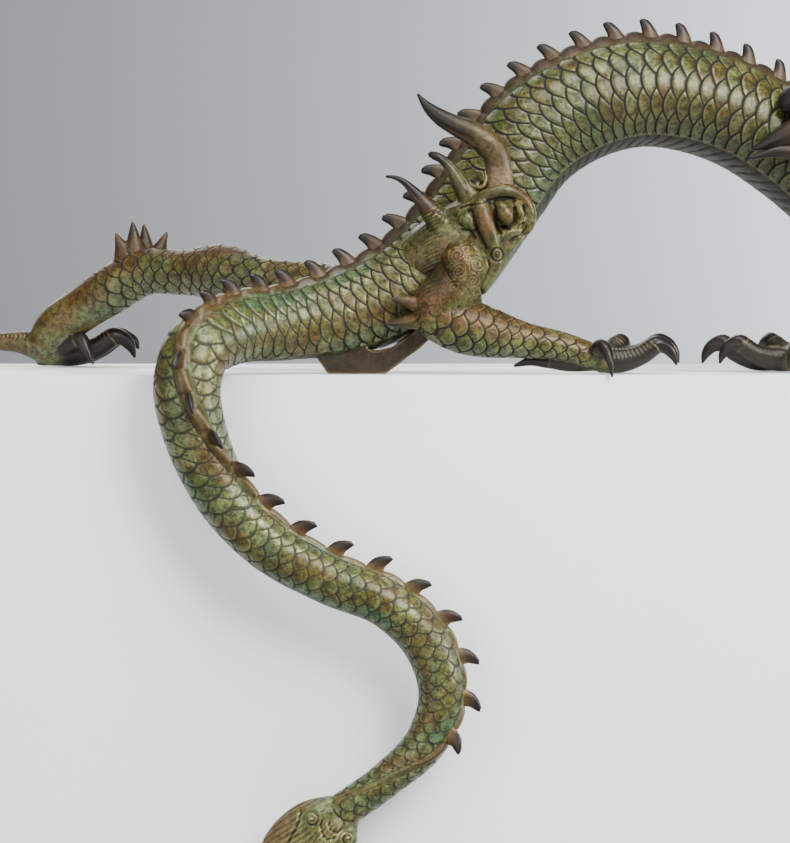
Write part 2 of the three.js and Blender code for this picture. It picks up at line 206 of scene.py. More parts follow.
# ---------------------------------------------------------------- scales
def scale_pattern(a, b):
    """How far a point lies behind its scale's free edge, before the next edge, and beside its middle.

    a runs along the body in pitches and b across it in rows. Rows are staggered by half a pitch.
    Each scale's free end is a rounded arc that points to lower a, and lies on the ones behind it.
    """
    row = np.floor(b)
    arcs, fracs = [], []
    for k in (0, 1):
        arc = SCALE_ARC * (b - row - k) ** 2
        fracs.append((a - 0.5 * (row + k) - arc) % 1.0)
        arcs.append(arc)
    first = fracs[0] + arcs[0] < fracs[1] + arcs[1]
    behind = np.where(first, fracs[0], fracs[1])
    beside = np.where(first, b - row, row + 1 - b)
    before = np.ones_like(a)
    for k, o in ((0, 1), (1, 0)):
        gap = 1 - fracs[k]
        seen = arcs[k] < (fracs[o] + gap) % 1.0 + arcs[o]
        before = np.minimum(before, np.where(seen, gap, 1.0))
    return behind, before, beside


def scale_height(behind, before, beside):
    """A scale's domed face, which falls away to the head and into the grooves round it."""
    face = 0.6 + 0.4 * (1 - behind) - SCALE_DOME * beside**2
    return face * smoothstep(0, GROOVE_IN, behind) * smoothstep(0, GROOVE_OUT, before)


# ---------------------------------------------------------------- meshes
PLINTH_LOW, PLINTH_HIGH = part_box("plinth")
LEDGE_ORIGIN = np.array([PLINTH_LOW.x - PLINTH_LEFT / 1000, PLINTH_LOW.y, PLINTH_HIGH.z])


def ledge_to_row(points):
    return np.asarray(points) / 1000 + LEDGE_ORIGIN


def row_to_ledge(points):
    return (np.asarray(points) - LEDGE_ORIGIN) * 1000


def mesh_object(name, points, faces, material):
    """A mesh from points in the ledge frame and equal-sided faces."""
    mesh = bpy.data.meshes.new(name)
    faces = np.asarray(faces, np.int32)
    mesh.vertices.add(len(points))
    mesh.vertices.foreach_set("co", ledge_to_row(points).astype(np.float32).ravel())
    mesh.loops.add(faces.size)
    mesh.loops.foreach_set("vertex_index", faces.ravel())
    mesh.polygons.add(len(faces))
    mesh.polygons.foreach_set("loop_start", np.arange(0, faces.size, faces.shape[1], dtype=np.int32))
    mesh.update(calc_edges=True)
    mesh.validate()
    mesh.polygons.foreach_set("use_smooth", np.ones(len(mesh.polygons), bool))
    obj = bpy.data.objects.new(name, mesh)
    bpy.context.scene.collection.objects.link(obj)
    mesh.materials.append(material)
    return obj


def read(items, name, kind=np.float32, width=3):
    values = np.empty(len(items) * width, kind)
    items.foreach_get(name, values)
    return values.reshape(-1, width)


def read_points(obj):
    return row_to_ledge(read(obj.data.vertices, "co").astype(float))


def read_normals(obj):
    return read(obj.data.vertex_normals, "vector").astype(float)


def write_points(obj, points):
    obj.data.vertices.foreach_set("co", ledge_to_row(points).astype(np.float32).ravel())
    obj.data.update()


def write_attribute(obj, name, values):
    values = np.asarray(values, np.float32)
    kind = "FLOAT" if values.ndim == 1 else "FLOAT_VECTOR"
    layer = obj.data.attributes.new(name, kind, "POINT")
    layer.data.foreach_set("value" if kind == "FLOAT" else "vector", values.ravel())


class Edges:
    """A mesh's edges, for sums and means over what surrounds each vertex."""

    def __init__(self, obj):
        self.p, self.q = read(obj.data.edges, "vertices", np.int32, 2).T
        self.count = len(obj.data.vertices)
        self.links = np.maximum(self.gathered(np.ones(len(self.p))), 1)

    def gathered(self, values):
        """Per vertex, the sum of its edges' values."""
        return np.bincount(self.p, values, self.count) + np.bincount(self.q, values, self.count)

    def mean(self, values):
        """Per vertex, the mean of its neighbours' values."""
        p, q = self.p, self.q
        return (np.bincount(p, values[q], self.count) + np.bincount(q, values[p], self.count)) / self.links

    def smoothed(self, values, rounds):
        for _ in range(rounds):
            values = 0.5 * values + 0.5 * self.mean(values)
        return values

    def jumps(self, values, limit):
        """Per vertex, 1 beside an edge over which the values jump by more than the limit."""
        torn = (np.abs(values[self.p] - values[self.q]) > limit).astype(float)
        return np.minimum(self.gathered(torn), 1)


def curvature(obj):
    """Per vertex: above zero in a crease, below zero on an edge, about -1 to 1 at a tight one."""
    co, normal = read_points(obj), read_normals(obj)
    edges = Edges(obj)
    average = np.stack([edges.mean(co[:, k]) for k in range(3)], -1)
    spread = edges.gathered(np.linalg.norm(co[edges.p] - co[edges.q], axis=1)) / edges.links
    bend = np.sum((average - co) * normal, -1) / np.maximum(spread, 1e-6) * 4
    return np.clip(edges.smoothed(bend, 2), -1.5, 1.5)


def dress(obj, **attributes):
    """Write the attributes, each as its columns, and the creases and edges of the finished surface."""
    for name, columns in attributes.items():
        values = np.stack(np.broadcast_arrays(*columns), -1).reshape(-1, len(columns))
        write_attribute(obj, name, np.clip(values, 0, 1) if name == "tint" else values)
    write_attribute(obj, "bend", curvature(obj))
    return obj


def grid_faces(rows, columns):
    """Quads between rings of points."""
    r = np.arange(rows - 1)[:, None] * columns
    c = np.arange(columns)[None, :]
    n = (c + 1) % columns
    return np.stack([r + c, r + n, r + columns + n, r + columns + c], -1).reshape(-1, 4)


def closed_faces(rows, sides):
    """Triangles of a tube of rings that are followed by a point at its start and one at its end."""
    quads = grid_faces(rows, sides)
    side = np.arange(sides)
    after = (side + 1) % sides
    last = (rows - 1) * sides
    start = np.full(sides, rows * sides)
    return np.vstack(
        [
            quads[:, [0, 1, 2]],
            quads[:, [0, 2, 3]],
            np.stack([start, after, side], -1),
            np.stack([start + 1, last + side, last + after], -1),
        ]
    )


class Solid:
    """Points and triangles of a closed tube, with each point's share of its length and its angle."""

    def __init__(self, points, faces, share, around):
        self.points, self.faces, self.share, self.around = points, faces, share, around


def limb_frames(path, distance):
    """Centre, radius, and the axes along, up and across, which turn as little as they can."""
    here = path.at(distance)
    along = unit((path.at(distance + 1) - path.at(distance - 1))[:, :3])
    up = np.cross(FRONT, along[0])
    if np.linalg.norm(up) < 0.3:
        up = np.array([0.0, 0.0, 1.0])
    ups = []
    for direction in along:
        up = unit(up - direction * np.dot(up, direction))
        ups.append(up)
    up = np.array(ups)
    return here[:, :3], here[:, 3], along, up, np.cross(along, up)


def tube(rows, sides=24, step=2.5, shape=None, flatten=1.0):
    """A closed tube along rows of x, y, z, radius.

    shape gives the reach as a share of the radius, from the share of the length and the angle.
    flatten narrows the tube front to back.
    """
    path = Path(rows)
    count = max(4, int(round(path.length / step)))
    s = np.linspace(0, path.length, count + 1)
    centre, radius, along, up, across = limb_frames(path, s)
    share, theta = np.meshgrid(
        s / path.length, np.linspace(0, 2 * math.pi, sides, endpoint=False), indexing="ij"
    )
    reach = radius[:, None] * (1 if shape is None else shape(share, theta))
    ring = np.cos(theta)[..., None] * up[:, None] + np.sin(theta)[..., None] * across[:, None]
    offset = np.broadcast_to(reach, share.shape)[..., None] * ring
    offset[..., 1] *= flatten
    noses = centre[[0, -1]] + along[[0, -1]] * radius[[0, -1], None] * np.array([[-0.5], [0.5]])
    points = np.vstack([(centre[:, None] + offset).reshape(-1, 3), noses])
    faces = closed_faces(count + 1, sides)
    corners = points[faces]
    if np.sum(corners[:, 0] * np.cross(corners[:, 1] - centre[0], corners[:, 2] - centre[0])) < 0:
        faces = faces[:, ::-1]
    share = np.concatenate([share.ravel(), [0, 1]])
    return Solid(points, faces, share, np.concatenate([theta.ravel(), [0, 0]]))


def joined(solids):
    starts = np.cumsum([0] + [len(solid.points) for solid in solids[:-1]])
    return Solid(
        np.vstack([solid.points for solid in solids]),
        np.vstack([solid.faces + start for solid, start in zip(solids, starts)]),
        np.concatenate([solid.share for solid in solids]),
        np.concatenate([solid.around for solid in solids]),
    )


def skin(name, solids, voxel, smoothing):
    """One fused skin over closed solids that run into each other."""
    whole = joined(solids)
    obj = mesh_object(name, whole.points, whole.faces, PATINA)
    remesh = obj.modifiers.new("fuse", "REMESH")
    remesh.mode = "VOXEL"
    remesh.voxel_size = voxel / 1000
    remesh.use_smooth_shade = True
    soften = obj.modifiers.new("soften", "SMOOTH")
    soften.factor = 0.5
    soften.iterations = smoothing
    fused = bpy.data.meshes.new_from_object(obj.evaluated_get(bpy.context.evaluated_depsgraph_get()))
    obj.modifiers.clear()
    obj.data = fused
    return obj


class Limbs:
    """Where each point lies on the nearest of several limbs."""

    def __init__(self, points, paths):
        count = len(points)
        best = np.full(count, np.inf)
        self.which = np.zeros(count, int)
        self.along, self.around = np.zeros(count), np.zeros(count)
        for number, path in enumerate(paths):
            d = np.linspace(0, path.length, int(path.length / 3) + 3)
            centre, radius, along, up, across = limb_frames(path, d)
            squared = (points**2).sum(1)[:, None] + (centre**2).sum(1)[None] - 2 * points @ centre.T
            gap = np.sqrt(np.maximum(squared, 0)) - radius
            i = gap.argmin(1)
            gap = gap[np.arange(count), i]
            offset = points - centre[i]
            s = d[i] + np.sum(offset * along[i], -1)
            turn = np.arctan2(np.sum(offset * across[i], -1), np.sum(offset * up[i], -1))
            closer = gap < best
            best = np.where(closer, gap, best)
            self.which = np.where(closer, number, self.which)
            self.along = np.where(closer, s, self.along)
            self.around = np.where(closer, turn, self.around)


def blob(points, x, z, size):
    """1 at a place seen from the front, fading to 0 away from it."""
    return np.exp(-((points[:, 0] - x) ** 2 + (points[:, 2] - z) ** 2) / size**2)


def patches(points, rows):
    """The sum of soft round patches: amount, x, z, size."""
    return sum(amount * blob(points, *patch) for amount, *patch in rows)


# ---------------------------------------------------------------- materials
MIX_COLOUR_A, MIX_COLOUR_B, MIX_COLOUR_RESULT = 6, 7, 2  # the Mix node's colour sockets


class Nodes:
    """Short calls for building one material's node tree."""

    def __init__(self, name):
        self.material = bpy.data.materials.new(name)
        self.material.use_nodes = True
        self.tree = self.material.node_tree
        self.shader = self.tree.nodes["Principled BSDF"]

    def node(self, kind, **settings):
        made = self.tree.nodes.new(kind)
        for key, value in settings.items():
            setattr(made, key, value)
        return made

    def wire(self, value, socket):
        if isinstance(value, bpy.types.NodeSocket):
            self.tree.links.new(value, socket)
        elif isinstance(value, tuple) and len(value) == 3 and socket.type == "RGBA":
            socket.default_value = (*value, 1)
        else:
            socket.default_value = value

    def maths(self, operation, *values):
        made = self.node("ShaderNodeMath", operation=operation)
        for value, socket in zip(values, made.inputs):
            self.wire(value, socket)
        return made.outputs[0]

    def plus(self, first, second):
        return self.maths("ADD", first, second)

    def minus(self, first, second):
        return self.maths("SUBTRACT", first, second)

    def times(self, first, second):
        return self.maths("MULTIPLY", first, second)

    def larger(self, first, second):
        return self.maths("MAXIMUM", first, second)

    def attribute(self, name, output="Fac"):
        return self.node("ShaderNodeAttribute", attribute_name=name).outputs[output]

    def split(self, vector):
        made = self.node("ShaderNodeSeparateXYZ")
        self.wire(vector, made.inputs[0])
        return made.outputs[0], made.outputs[1], made.outputs[2]

    def ramp(self, value, low, high):
        """0 below low and 1 above high, smooth between; low may be the larger."""
        made = self.node("ShaderNodeMapRange", interpolation_type="SMOOTHSTEP")
        flip = low > high
        ends = (high, low, 1.0, 0.0) if flip else (low, high, 0.0, 1.0)
        self.wire(value, made.inputs["Value"])
        for key, end in zip(("From Min", "From Max", "To Min", "To Max"), ends):
            made.inputs[key].default_value = end
        return made.outputs["Result"]

    def some(self, value, low, high, amount):
        """A ramp from low to high, times an amount."""
        return self.times(self.ramp(value, low, high), amount)

    def noise(self, scale, detail, roughness, distortion=0.0, offset=0.0):
        place = self.node("ShaderNodeTexCoord").outputs["Object"]
        if offset:
            shift = self.node("ShaderNodeVectorMath", operation="ADD")
            self.wire(place, shift.inputs[0])
            shift.inputs[1].default_value = (offset, offset * 0.7, -offset)
            place = shift.outputs[0]
        made = self.node("ShaderNodeTexNoise")
        self.wire(place, made.inputs["Vector"])
        settings = {"Scale": scale, "Detail": detail, "Roughness": roughness, "Distortion": distortion}
        for key, value in settings.items():
            made.inputs[key].default_value = value
        return made.outputs["Fac"]

    def mix(self, amount, first, second):
        made = self.node("ShaderNodeMix", data_type="RGBA")
        self.wire(amount, made.inputs["Factor"])
        self.wire(first, made.inputs[MIX_COLOUR_A])
        self.wire(second, made.inputs[MIX_COLOUR_B])
        return made.outputs[MIX_COLOUR_RESULT]

    def bump(self, height, strength, distance):
        made = self.node("ShaderNodeBump")
        made.inputs["Strength"].default_value = strength
        made.inputs["Distance"].default_value = distance
        self.wire(height, made.inputs["Height"])
        return made.outputs["Normal"]

    def finish(self, colour, roughness, normal=None, **constants):
        self.wire(colour, self.shader.inputs["Base Color"])
        self.wire(roughness, self.shader.inputs["Roughness"])
        if normal is not None:
            self.wire(normal, self.shader.inputs["Normal"])
        for key, value in constants.items():
            self.shader.inputs[key.replace("_", " ")].default_value = value
        return self.material


def srgb(*values):
    """A colour written as 0-255 screen values, as the linear numbers that the shader takes."""
    return tuple(v / 255 / 12.92 if v <= 10 else ((v / 255 + 0.055) / 1.055) ** 2.4 for v in values)


def scale_lines(n):
    """The same pattern as scale_pattern(), drawn by the shader: (behind, nearest edge, on)."""
    a, b, shown = n.split(n.attribute("scale_at", "Vector"))
    row = n.maths("FLOOR", b)
    arcs, fracs = [], []
    for k in (0.0, 1.0):
        away = n.minus(b, n.plus(row, k))
        arc = n.times(n.times(away, away), SCALE_ARC)
        shift = n.times(n.plus(row, k), 0.5)
        fracs.append(n.maths("FRACT", n.minus(n.minus(a, shift), arc)))
        arcs.append(arc)
    totals = [n.plus(frac, arc) for frac, arc in zip(fracs, arcs)]
    first = n.maths("LESS_THAN", *totals)
    behind = n.plus(n.times(fracs[0], first), n.times(fracs[1], n.minus(1.0, first)))
    nearest = behind
    for k, o in ((0, 1), (1, 0)):
        gap = n.minus(1.0, fracs[k])
        other = n.plus(n.maths("FRACT", n.plus(fracs[o], gap)), arcs[o])
        hidden = n.maths("GREATER_THAN", arcs[k], other)
        nearest = n.maths("MINIMUM", nearest, n.plus(gap, hidden))
    return behind, nearest, shown


# The patina's greens and browns.
MOSS, OLIVE, BLOOM, VERDIGRIS = srgb(55, 77, 39), srgb(82, 85, 34), srgb(128, 138, 90), srgb(66, 100, 70)
# The last of these is the dark that a surface's dark share mixes in: the metal's own dark on the toes, the
# bracket and the crown, and painted shade on the arch, the belly and the haunch's hollows.
EARTH, RUST, DARK_TONE_AND_SHADE = srgb(74, 56, 20), srgb(84, 49, 11), srgb(18, 13, 10)
FLECK, SPECK, GRAIN = srgb(28, 20, 8), srgb(26, 21, 9), srgb(120, 124, 66)
# Horn: two shades of the middle, its mottling and specks, a spine's foot, a pale root and the tip.
HORN, RED_HORN, HORN_MOTTLE = srgb(50, 33, 23), srgb(48, 28, 18), srgb(46, 40, 18)
HORN_SPECK = srgb(28, 19, 14)
SPINE_FOOT, PALE_ROOT, HORN_TIP = srgb(76, 54, 18), srgb(128, 104, 84), srgb(19, 14, 14)
# Scales: painted shade towards the end under the next scale's edge, worn metal with a painted highlight
# along the own edge, and dark patina in the groove; then painted shade in creases, and worn edges.
UNDER_EDGE_SHADE, WORN_RIM_AND_HIGHLIGHT, GROOVE = srgb(26, 20, 9), srgb(134, 138, 88), srgb(5, 5, 3)
CREASE_SHADE, WORN = srgb(8, 6, 4), srgb(150, 126, 76)
CLAW_DARK, CLAW_BROWN, CLAW_WORN = srgb(12, 9, 10), srgb(21, 16, 14), srgb(96, 82, 70)
BOARD_COOL, BOARD_GREY = srgb(231, 234, 240), srgb(225, 229, 235)
STAGE_GREY = srgb(148, 150, 154)


def patina(name):
    """Patinated bronze: mottled green and brown, dark in the grooves and worn bright on edges, with
    painted shade in creases, under the scales' edges and where its dark share calls for it.

    The surface carries where it is scaled ("scale_at"), its tints of rust, teal and dark ("tint"),
    creases and edges ("bend"), and where it turns to horn: how much, how near the tip, how red
    ("horn_at"). A tip below zero is a pale root. The dark tint is partly the metal's own dark and partly
    painted shade.
    """
    n = Nodes(name)
    broad = n.noise(15, 3, 0.55, 0.6)
    patch = n.noise(46, 4, 0.6, 0.8, offset=3)
    speck = n.noise(360, 3, 0.65, offset=7)
    fleck = n.noise(190, 4, 0.7, offset=13)
    grain = n.noise(1200, 2, 0.6, offset=11)
    rust, teal, dark = n.split(n.attribute("tint", "Vector"))
    horn, tip, red = n.split(n.attribute("horn_at", "Vector"))
    bend = n.attribute("bend")

    colour = n.mix(n.ramp(broad, 0.36, 0.62), MOSS, OLIVE)
    colour = n.mix(n.ramp(patch, 0.44, 0.66), colour, EARTH)
    colour = n.mix(n.some(n.noise(38, 4, 0.65, 0.5, offset=17), 0.46, 0.66, 0.5), colour, BLOOM)
    colour = n.mix(n.some(n.noise(28, 3, 0.6, offset=5), 0.28, 0.6, teal), colour, VERDIGRIS)
    colour = n.mix(n.some(n.noise(60, 4, 0.65, offset=9), 0.2, 0.55, rust), colour, RUST)
    colour = n.mix(n.some(fleck, 0.46, 0.6, 0.75), colour, FLECK)
    colour = n.mix(n.some(speck, 0.48, 0.64, 0.6), colour, SPECK)
    colour = n.mix(n.some(grain, 0.5, 0.78, 0.35), colour, GRAIN)
    # the dark share: the metal's own dark on toes, bracket and crown, painted shade on arch, belly and
    # hollows
    colour = n.mix(dark, colour, DARK_TONE_AND_SHADE)

    horny = n.mix(red, HORN, RED_HORN)
    horny = n.mix(n.some(patch, 0.4, 0.62, 0.7), horny, HORN_MOTTLE)
    horny = n.mix(n.times(n.some(tip, 0.3, 0.0, red), 0.8), horny, SPINE_FOOT)
    horny = n.mix(n.ramp(tip, -0.02, -0.3), horny, PALE_ROOT)
    horny = n.mix(n.some(speck, 0.46, 0.66, 0.6), horny, HORN_SPECK)
    horny = n.mix(n.ramp(tip, 0.3, 0.78), horny, HORN_TIP)
    colour = n.mix(horn, colour, horny)

    behind, nearest, shown = scale_lines(n)
    line = n.some(nearest, 0.125, 0.05, shown)
    faint = n.minus(1.0, n.times(rust, 0.5))
    # painted shade: each scale darkens towards its end that lies under the next scale's edge
    colour = n.mix(n.some(behind, 0.45, 1.0, n.times(shown, 0.6)), colour, UNDER_EDGE_SHADE)
    # a pale rim along each scale's free edge: worn metal with a painted highlight
    rim = n.some(behind, 0.22, 0.13, shown)
    colour = n.mix(n.times(rim, n.some(patch, 0.3, 0.6, 0.14)), colour, WORN_RIM_AND_HIGHLIGHT)
    colour = n.mix(n.times(line, faint), colour, GROOVE)
    # painted shade darkens the creases
    crease_shade = n.some(bend, 0.1, 0.6, 0.92)
    blunt = n.minus(1.0, n.some(tip, 0.2, 0.5, horn))
    colour = n.mix(crease_shade, colour, CREASE_SHADE)
    colour = n.mix(n.times(n.some(bend, -0.15, -0.8, 0.45), blunt), colour, WORN)

    rough = n.plus(n.times(n.noise(75, 4, 0.7, offset=19), 0.45), 0.06)
    satin = n.larger(n.larger(horn, dark), rust)
    rough = n.plus(rough, n.times(satin, 0.14))
    rough = n.plus(rough, n.times(n.larger(line, crease_shade), 0.5))
    relief = n.plus(n.times(fleck, 0.8), n.times(grain, 0.35))
    normal = n.bump(relief, 0.5, 0.0007)
    return n.finish(colour, rough, normal, Metallic=0.2, Specular_IOR_Level=0.36)


def claw_bronze(name):
    """Nearly black polished bronze of the claws, the eyes and the teeth."""
    n = Nodes(name)
    patch = n.noise(120, 3, 0.6, 0.4, offset=2)
    speck = n.noise(600, 3, 0.6, offset=6)
    colour = n.mix(n.ramp(patch, 0.4, 0.7), CLAW_DARK, CLAW_BROWN)
    colour = n.mix(n.some(n.attribute("bend"), -0.2, -0.9, 0.3), colour, CLAW_WORN)
    rough = n.plus(n.times(speck, 0.2), 0.28)
    normal = n.bump(speck, 0.25, 0.0004)
    return n.finish(colour, rough, normal, Metallic=0.1, Specular_IOR_Level=0.28)


def painted_board(name):
    """Matt white paint with the faint grain of a roller."""
    n = Nodes(name)
    roller = n.noise(900, 2, 0.5)
    colour = n.mix(n.some(n.noise(3, 2, 0.5), 0.3, 0.7, 0.5), BOARD_COOL, BOARD_GREY)
    rough = n.plus(n.times(roller, 0.12), 0.42)
    normal = n.bump(roller, 0.05, 0.0003)
    return n.finish(colour, rough, normal)


PATINA = patina("patina")
CLAW = claw_bronze("claw_bronze")
BOARD = painted_board("painted_board")


# ---------------------------------------------------------------- the body
def wobble(s, theta, seed):
    """A slow hand-made unevenness, about -1 to 1."""
    return (
        np.sin(s * 0.031 + 2.1 * theta + seed)
        + np.sin(s * 0.067 - 3.2 * theta + 2 * seed)
        + np.sin(s * 0.019 + 5.1 * theta + 3 * seed)
    ) / 3


def pitches_along(s):
    """How many pitches of scales lie before each distance."""
    step = np.arange(0, BODY_PATH.length + 2, 1.0)
    run = np.concatenate([[0], np.cumsum(1.0 / table(SCALE_PITCH, step[:-1] + 0.5))])
    return np.interp(s, step, run)


def crest_hump(s):
    """0 at a spine and 1 halfway between two, with a rounded top."""
    places = np.concatenate([[SPINES[0] - 40], SPINES, [SPINES[-1] + 32]])
    i = np.clip(np.searchsorted(places, s) - 1, 0, len(places) - 2)
    t = (s - places[i]) / (places[i + 1] - places[i])
    return np.clip(1 - ((np.clip(t, 0, 1) - 0.5) / 0.31) ** 2, 0, 1) ** 0.5


def body_piece(name, start, end, step):
    """The skin of one stretch of the body: scales on its sides, crest above, plates below."""
    s = np.linspace(start, end, int(round((end - start) / step)) + 1)
    theta = np.linspace(0, 2 * math.pi, SECTION_SIDES, endpoint=False) + math.pi
    theta = (theta + math.pi) % (2 * math.pi) - math.pi
    s2, th = np.meshgrid(s, theta, indexing="ij")
    centre, radius, along, spine, across = body_frames(s)
    side = np.abs(th)
    row_angle = np.radians(table(ROW_ANGLE, radius))[:, None]
    crest_half = np.radians(table(CREST_HALF, s))[:, None]
    b = (side - crest_half) / row_angle + table(ROW_START, s)[:, None]
    a = pitches_along(s)[:, None] - table(SCALE_LEAD, s)[:, None] * b
    a = a + 0.07 * wobble(s2, th, 1.0)
    b = b + 0.05 * wobble(s2, th, 4.0)

    behind, before, beside = scale_pattern(a, b)
    fade = smoothstep(crest_half, crest_half + 0.05, side)
    fade = fade * smoothstep(BELLY_FROM, BELLY_FROM - 0.04, side)
    fade = fade * (0.75 + 0.25 * smoothstep(560, 760, s2))
    crest = smoothstep(crest_half, math.radians(4), side)
    hump = crest_hump(s)[:, None]
    lift = crest * radius[:, None] * (CREST_LIFT + HUMP_LIFT * hump) * crest_share(s2)
    strip = smoothstep(crest_half - 0.04, crest_half - 0.08, side) * 0.8
    lift = lift + strip * (1 - crest)

    belly = smoothstep(BELLY_FROM, BELLY_FROM + 0.05, side)
    plate = (PLATE_RATE * pitches_along(s)[:, None] - (math.pi - side) * PLATE_SLANT) % 1.0
    plate_height = (1 - plate * 0.25) * smoothstep(0, 0.12, plate) * smoothstep(0, 0.06, 1 - plate)
    rim = bell((side - BELLY_FROM + 0.02) / 0.028)

    size = np.clip(radius / 40, 0.55, 1.0)[:, None]
    relief = SCALE_RELIEF * size * fade * scale_height(behind, before, beside)
    relief = relief + BELLY_RELIEF * size * belly * plate_height + BELLY_RIM * size * rim + lift
    reach = (radius[:, None] + relief - SKIN_INSET)[..., None]
    ring = np.cos(th)[..., None] * spine[:, None] + np.sin(th)[..., None] * across[:, None]
    points = (centre[:, None] + reach * ring).reshape(-1, 3)

    obj = mesh_object(name, points, grid_faces(len(s), SECTION_SIDES), PATINA)
    above = smoothstep(*ABOVE_SETS_IN, s2)
    teal = smoothstep(math.radians(112), math.radians(140), side) * 0.5 * (1 - belly)
    level = smoothstep(*LEVEL_SETS_IN, s2) * smoothstep(*LEVEL_ENDS, s2)
    teal = teal + smoothstep(-0.1, 0.7, wobble(s2, th, 5.0)) * (0.75 - 0.6 * above)
    teal = teal + 0.6 * level * smoothstep(math.radians(62), math.radians(40), side) + 0.35 * belly
    band = bell((side - math.radians(104)) / math.radians(20))
    rust = smoothstep(0.1, 0.7, wobble(s2, th, 7.0)) * (0.5 - 0.3 * above) * (1 - belly)
    rust = rust + band * (0.12 * above + 0.45 * level)
    # painted shade over the arch, deeper on its underside; the belly is darker, partly its own tone and
    # partly painted shade
    underside_shade = smoothstep(math.radians(60), math.radians(130), side)
    dark = belly * 0.5 + (0.1 + 0.3 * underside_shade) * smoothstep(*ARCH_SHADE_SETS_IN, s2)
    red = smoothstep(*TAIL_SPINES_TO[::-1], s2)
    horny = (1 - red) * smoothstep(crest_half - 0.02, crest_half - 0.07, side)
    horny = horny + red * 0.85 * smoothstep(crest_half, 0.4 * crest_half, side) * smoothstep(25, 80, s2)
    horny = horny * (1 - 0.35 * (1 - red) * smoothstep(0.5 * crest_half, 0.9 * crest_half, side))
    tip = 0.25 - 0.1 * red + 0.4 * hump * crest * (1 - red)
    return dress(obj, scale_at=(a, b, fade), tint=(rust, teal, dark), horn_at=(horny, tip, red))


body_tail = body_piece("body_tail", 0, 880, 1.45)
body_arch = body_piece("body_arch", 880, 1225, 1.35)
body_neck = body_piece("body_neck", 1225, BODY_PATH.length, 2.5)


# ---------------------------------------------------------------- spines on the crest
def spine(distance):
    """One hooked spine, from its root in the crest to its blunt tip towards the tail."""
    frames = body_frames(np.array([distance]))
    centre, radius, along, up, across = (values[0] for values in frames)
    arch_share = float(smoothstep(*TAIL_SPINES_TO, distance))
    rows = (1 - arch_share) * np.array(TAIL_SPINE) + arch_share * np.array(ARCH_SPINE)
    levels = Path(np.insert(rows, 2, 0.0, axis=1))
    height, lean, _, half, thick = levels.at(np.linspace(0, levels.length, 18)).T
    size = min(1, 0.6 + radius / 60)
    theta = np.linspace(0, 2 * math.pi, 20, endpoint=False)
    foot = centre + up * (radius * (1 + CREST_LIFT * crest_share(distance)) - SPINE_SINK)
    middle = foot + size * (height[:, None] * up - lean[:, None] * along)
    ring = (
        half[:, None, None] * np.cos(theta)[None, :, None] * along
        + thick[:, None, None] * np.sin(theta)[None, :, None] * across
    )
    grid = middle[:, None] + size * ring
    ends = np.stack([middle[0] - up, middle[-1] + 0.4 * (middle[-1] - middle[-2])])
    points = np.vstack([grid.reshape(-1, 3), ends])
    faces = closed_faces(len(height), len(theta))[:, ::-1]
    share = np.repeat(np.clip(height / height[-1], 0, 1), len(theta))
    # Painted shade: a tail spine is dark on its edge towards the head, one on the arch on the other edge.
    shaded = np.tile(np.clip((1 - 2 * arch_share) * np.cos(theta), 0, 1) ** 2, len(height)) * share**0.5
    dark = np.clip(0.9 * share + 0.6 * shaded, 0, 1)
    return Solid(points, faces, np.concatenate([dark, [0, 1]]), np.full(len(points), 1 - arch_share))


def horn_piece(name, solids, red, start=0.0, end=1.0):
    """Smooth horns in one object, from the root's colour at start to a dark tip at end."""
    whole = joined(solids)
    obj = mesh_object(name, whole.points, whole.faces, PATINA)
    tip = start + (end - start) * whole.share
    return dress(obj, horn_at=(1.0, tip, red))


SPINE_SOLIDS = [spine(distance) for distance in SPINES]
spines = horn_piece("spines", SPINE_SOLIDS, joined(SPINE_SOLIDS).around)


# ---------------------------------------------------------------- feet
# A foot in its own axes: forward along X times heading, towards the back of the plinth, up, radius.
# Each toe has the number of the row that its claw grows from.
TOES = {
    "forward": (3, [(0, 0, 12.5, 12), (22, 0, 12, 11), (40, 0, 18, 9.2), (51, 0, 26, 8.8), (60, 1, 24.5, 6.6),
                    (67, 2, 17, 4.4), (70.5, 2, 8, 1)]),
    "front": (1, [(0, -2, 14, 11), (0, -16, 24, 8.4), (4, -24, 23, 6), (8, -31, 13, 3.8), (10, -34, 3, 1)]),
    "back": (2, [(0, 4, 14, 10), (13, 22, 20, 10), (20, 31, 27, 9.4), (27, 41, 20, 5.6), (30, 47, 7, 1.2)]),
    "low_back": (2, [(0, 4, 14, 10), (14, 22, 15, 8.6), (21, 31, 18, 8), (27, 41, 14, 5), (30, 47, 5, 1.2)]),
    "long_front": (2, [(0, -2, 14, 11), (14, -12, 21, 9), (24, -20, 24, 7.6), (30, -26, 16, 4.6),
                       (37, -30, 3, 1)]),
    "heel": (2, [(-4, 2, 13, 11), (-28, 2, 10, 8.4), (-46, 2, 11, 6.4), (-60, 2, 12, 5), (-77, 2, 7, 1.2)]),
    "tall_heel": (4, [(-8, 2, 17, 14), (-30, 4, 21, 9.8), (-52, 5, 22, 7.6), (-66, 5, 26, 7.4),
                      (-78, 5, 22, 5.2), (-88, 5, 11, 1.2)]),
}
STAND_OFF = 0.4  # gap between the soles and the plinth
CLAW_SHARE = 0.96  # a claw's root, as a share of the toe that it grows from
CLAW_ROOT = 0.3  # how far back into the toe a claw starts, as a share of the toe's last stretch
BEAD = 4.0  # step of the rings across the top of a toe


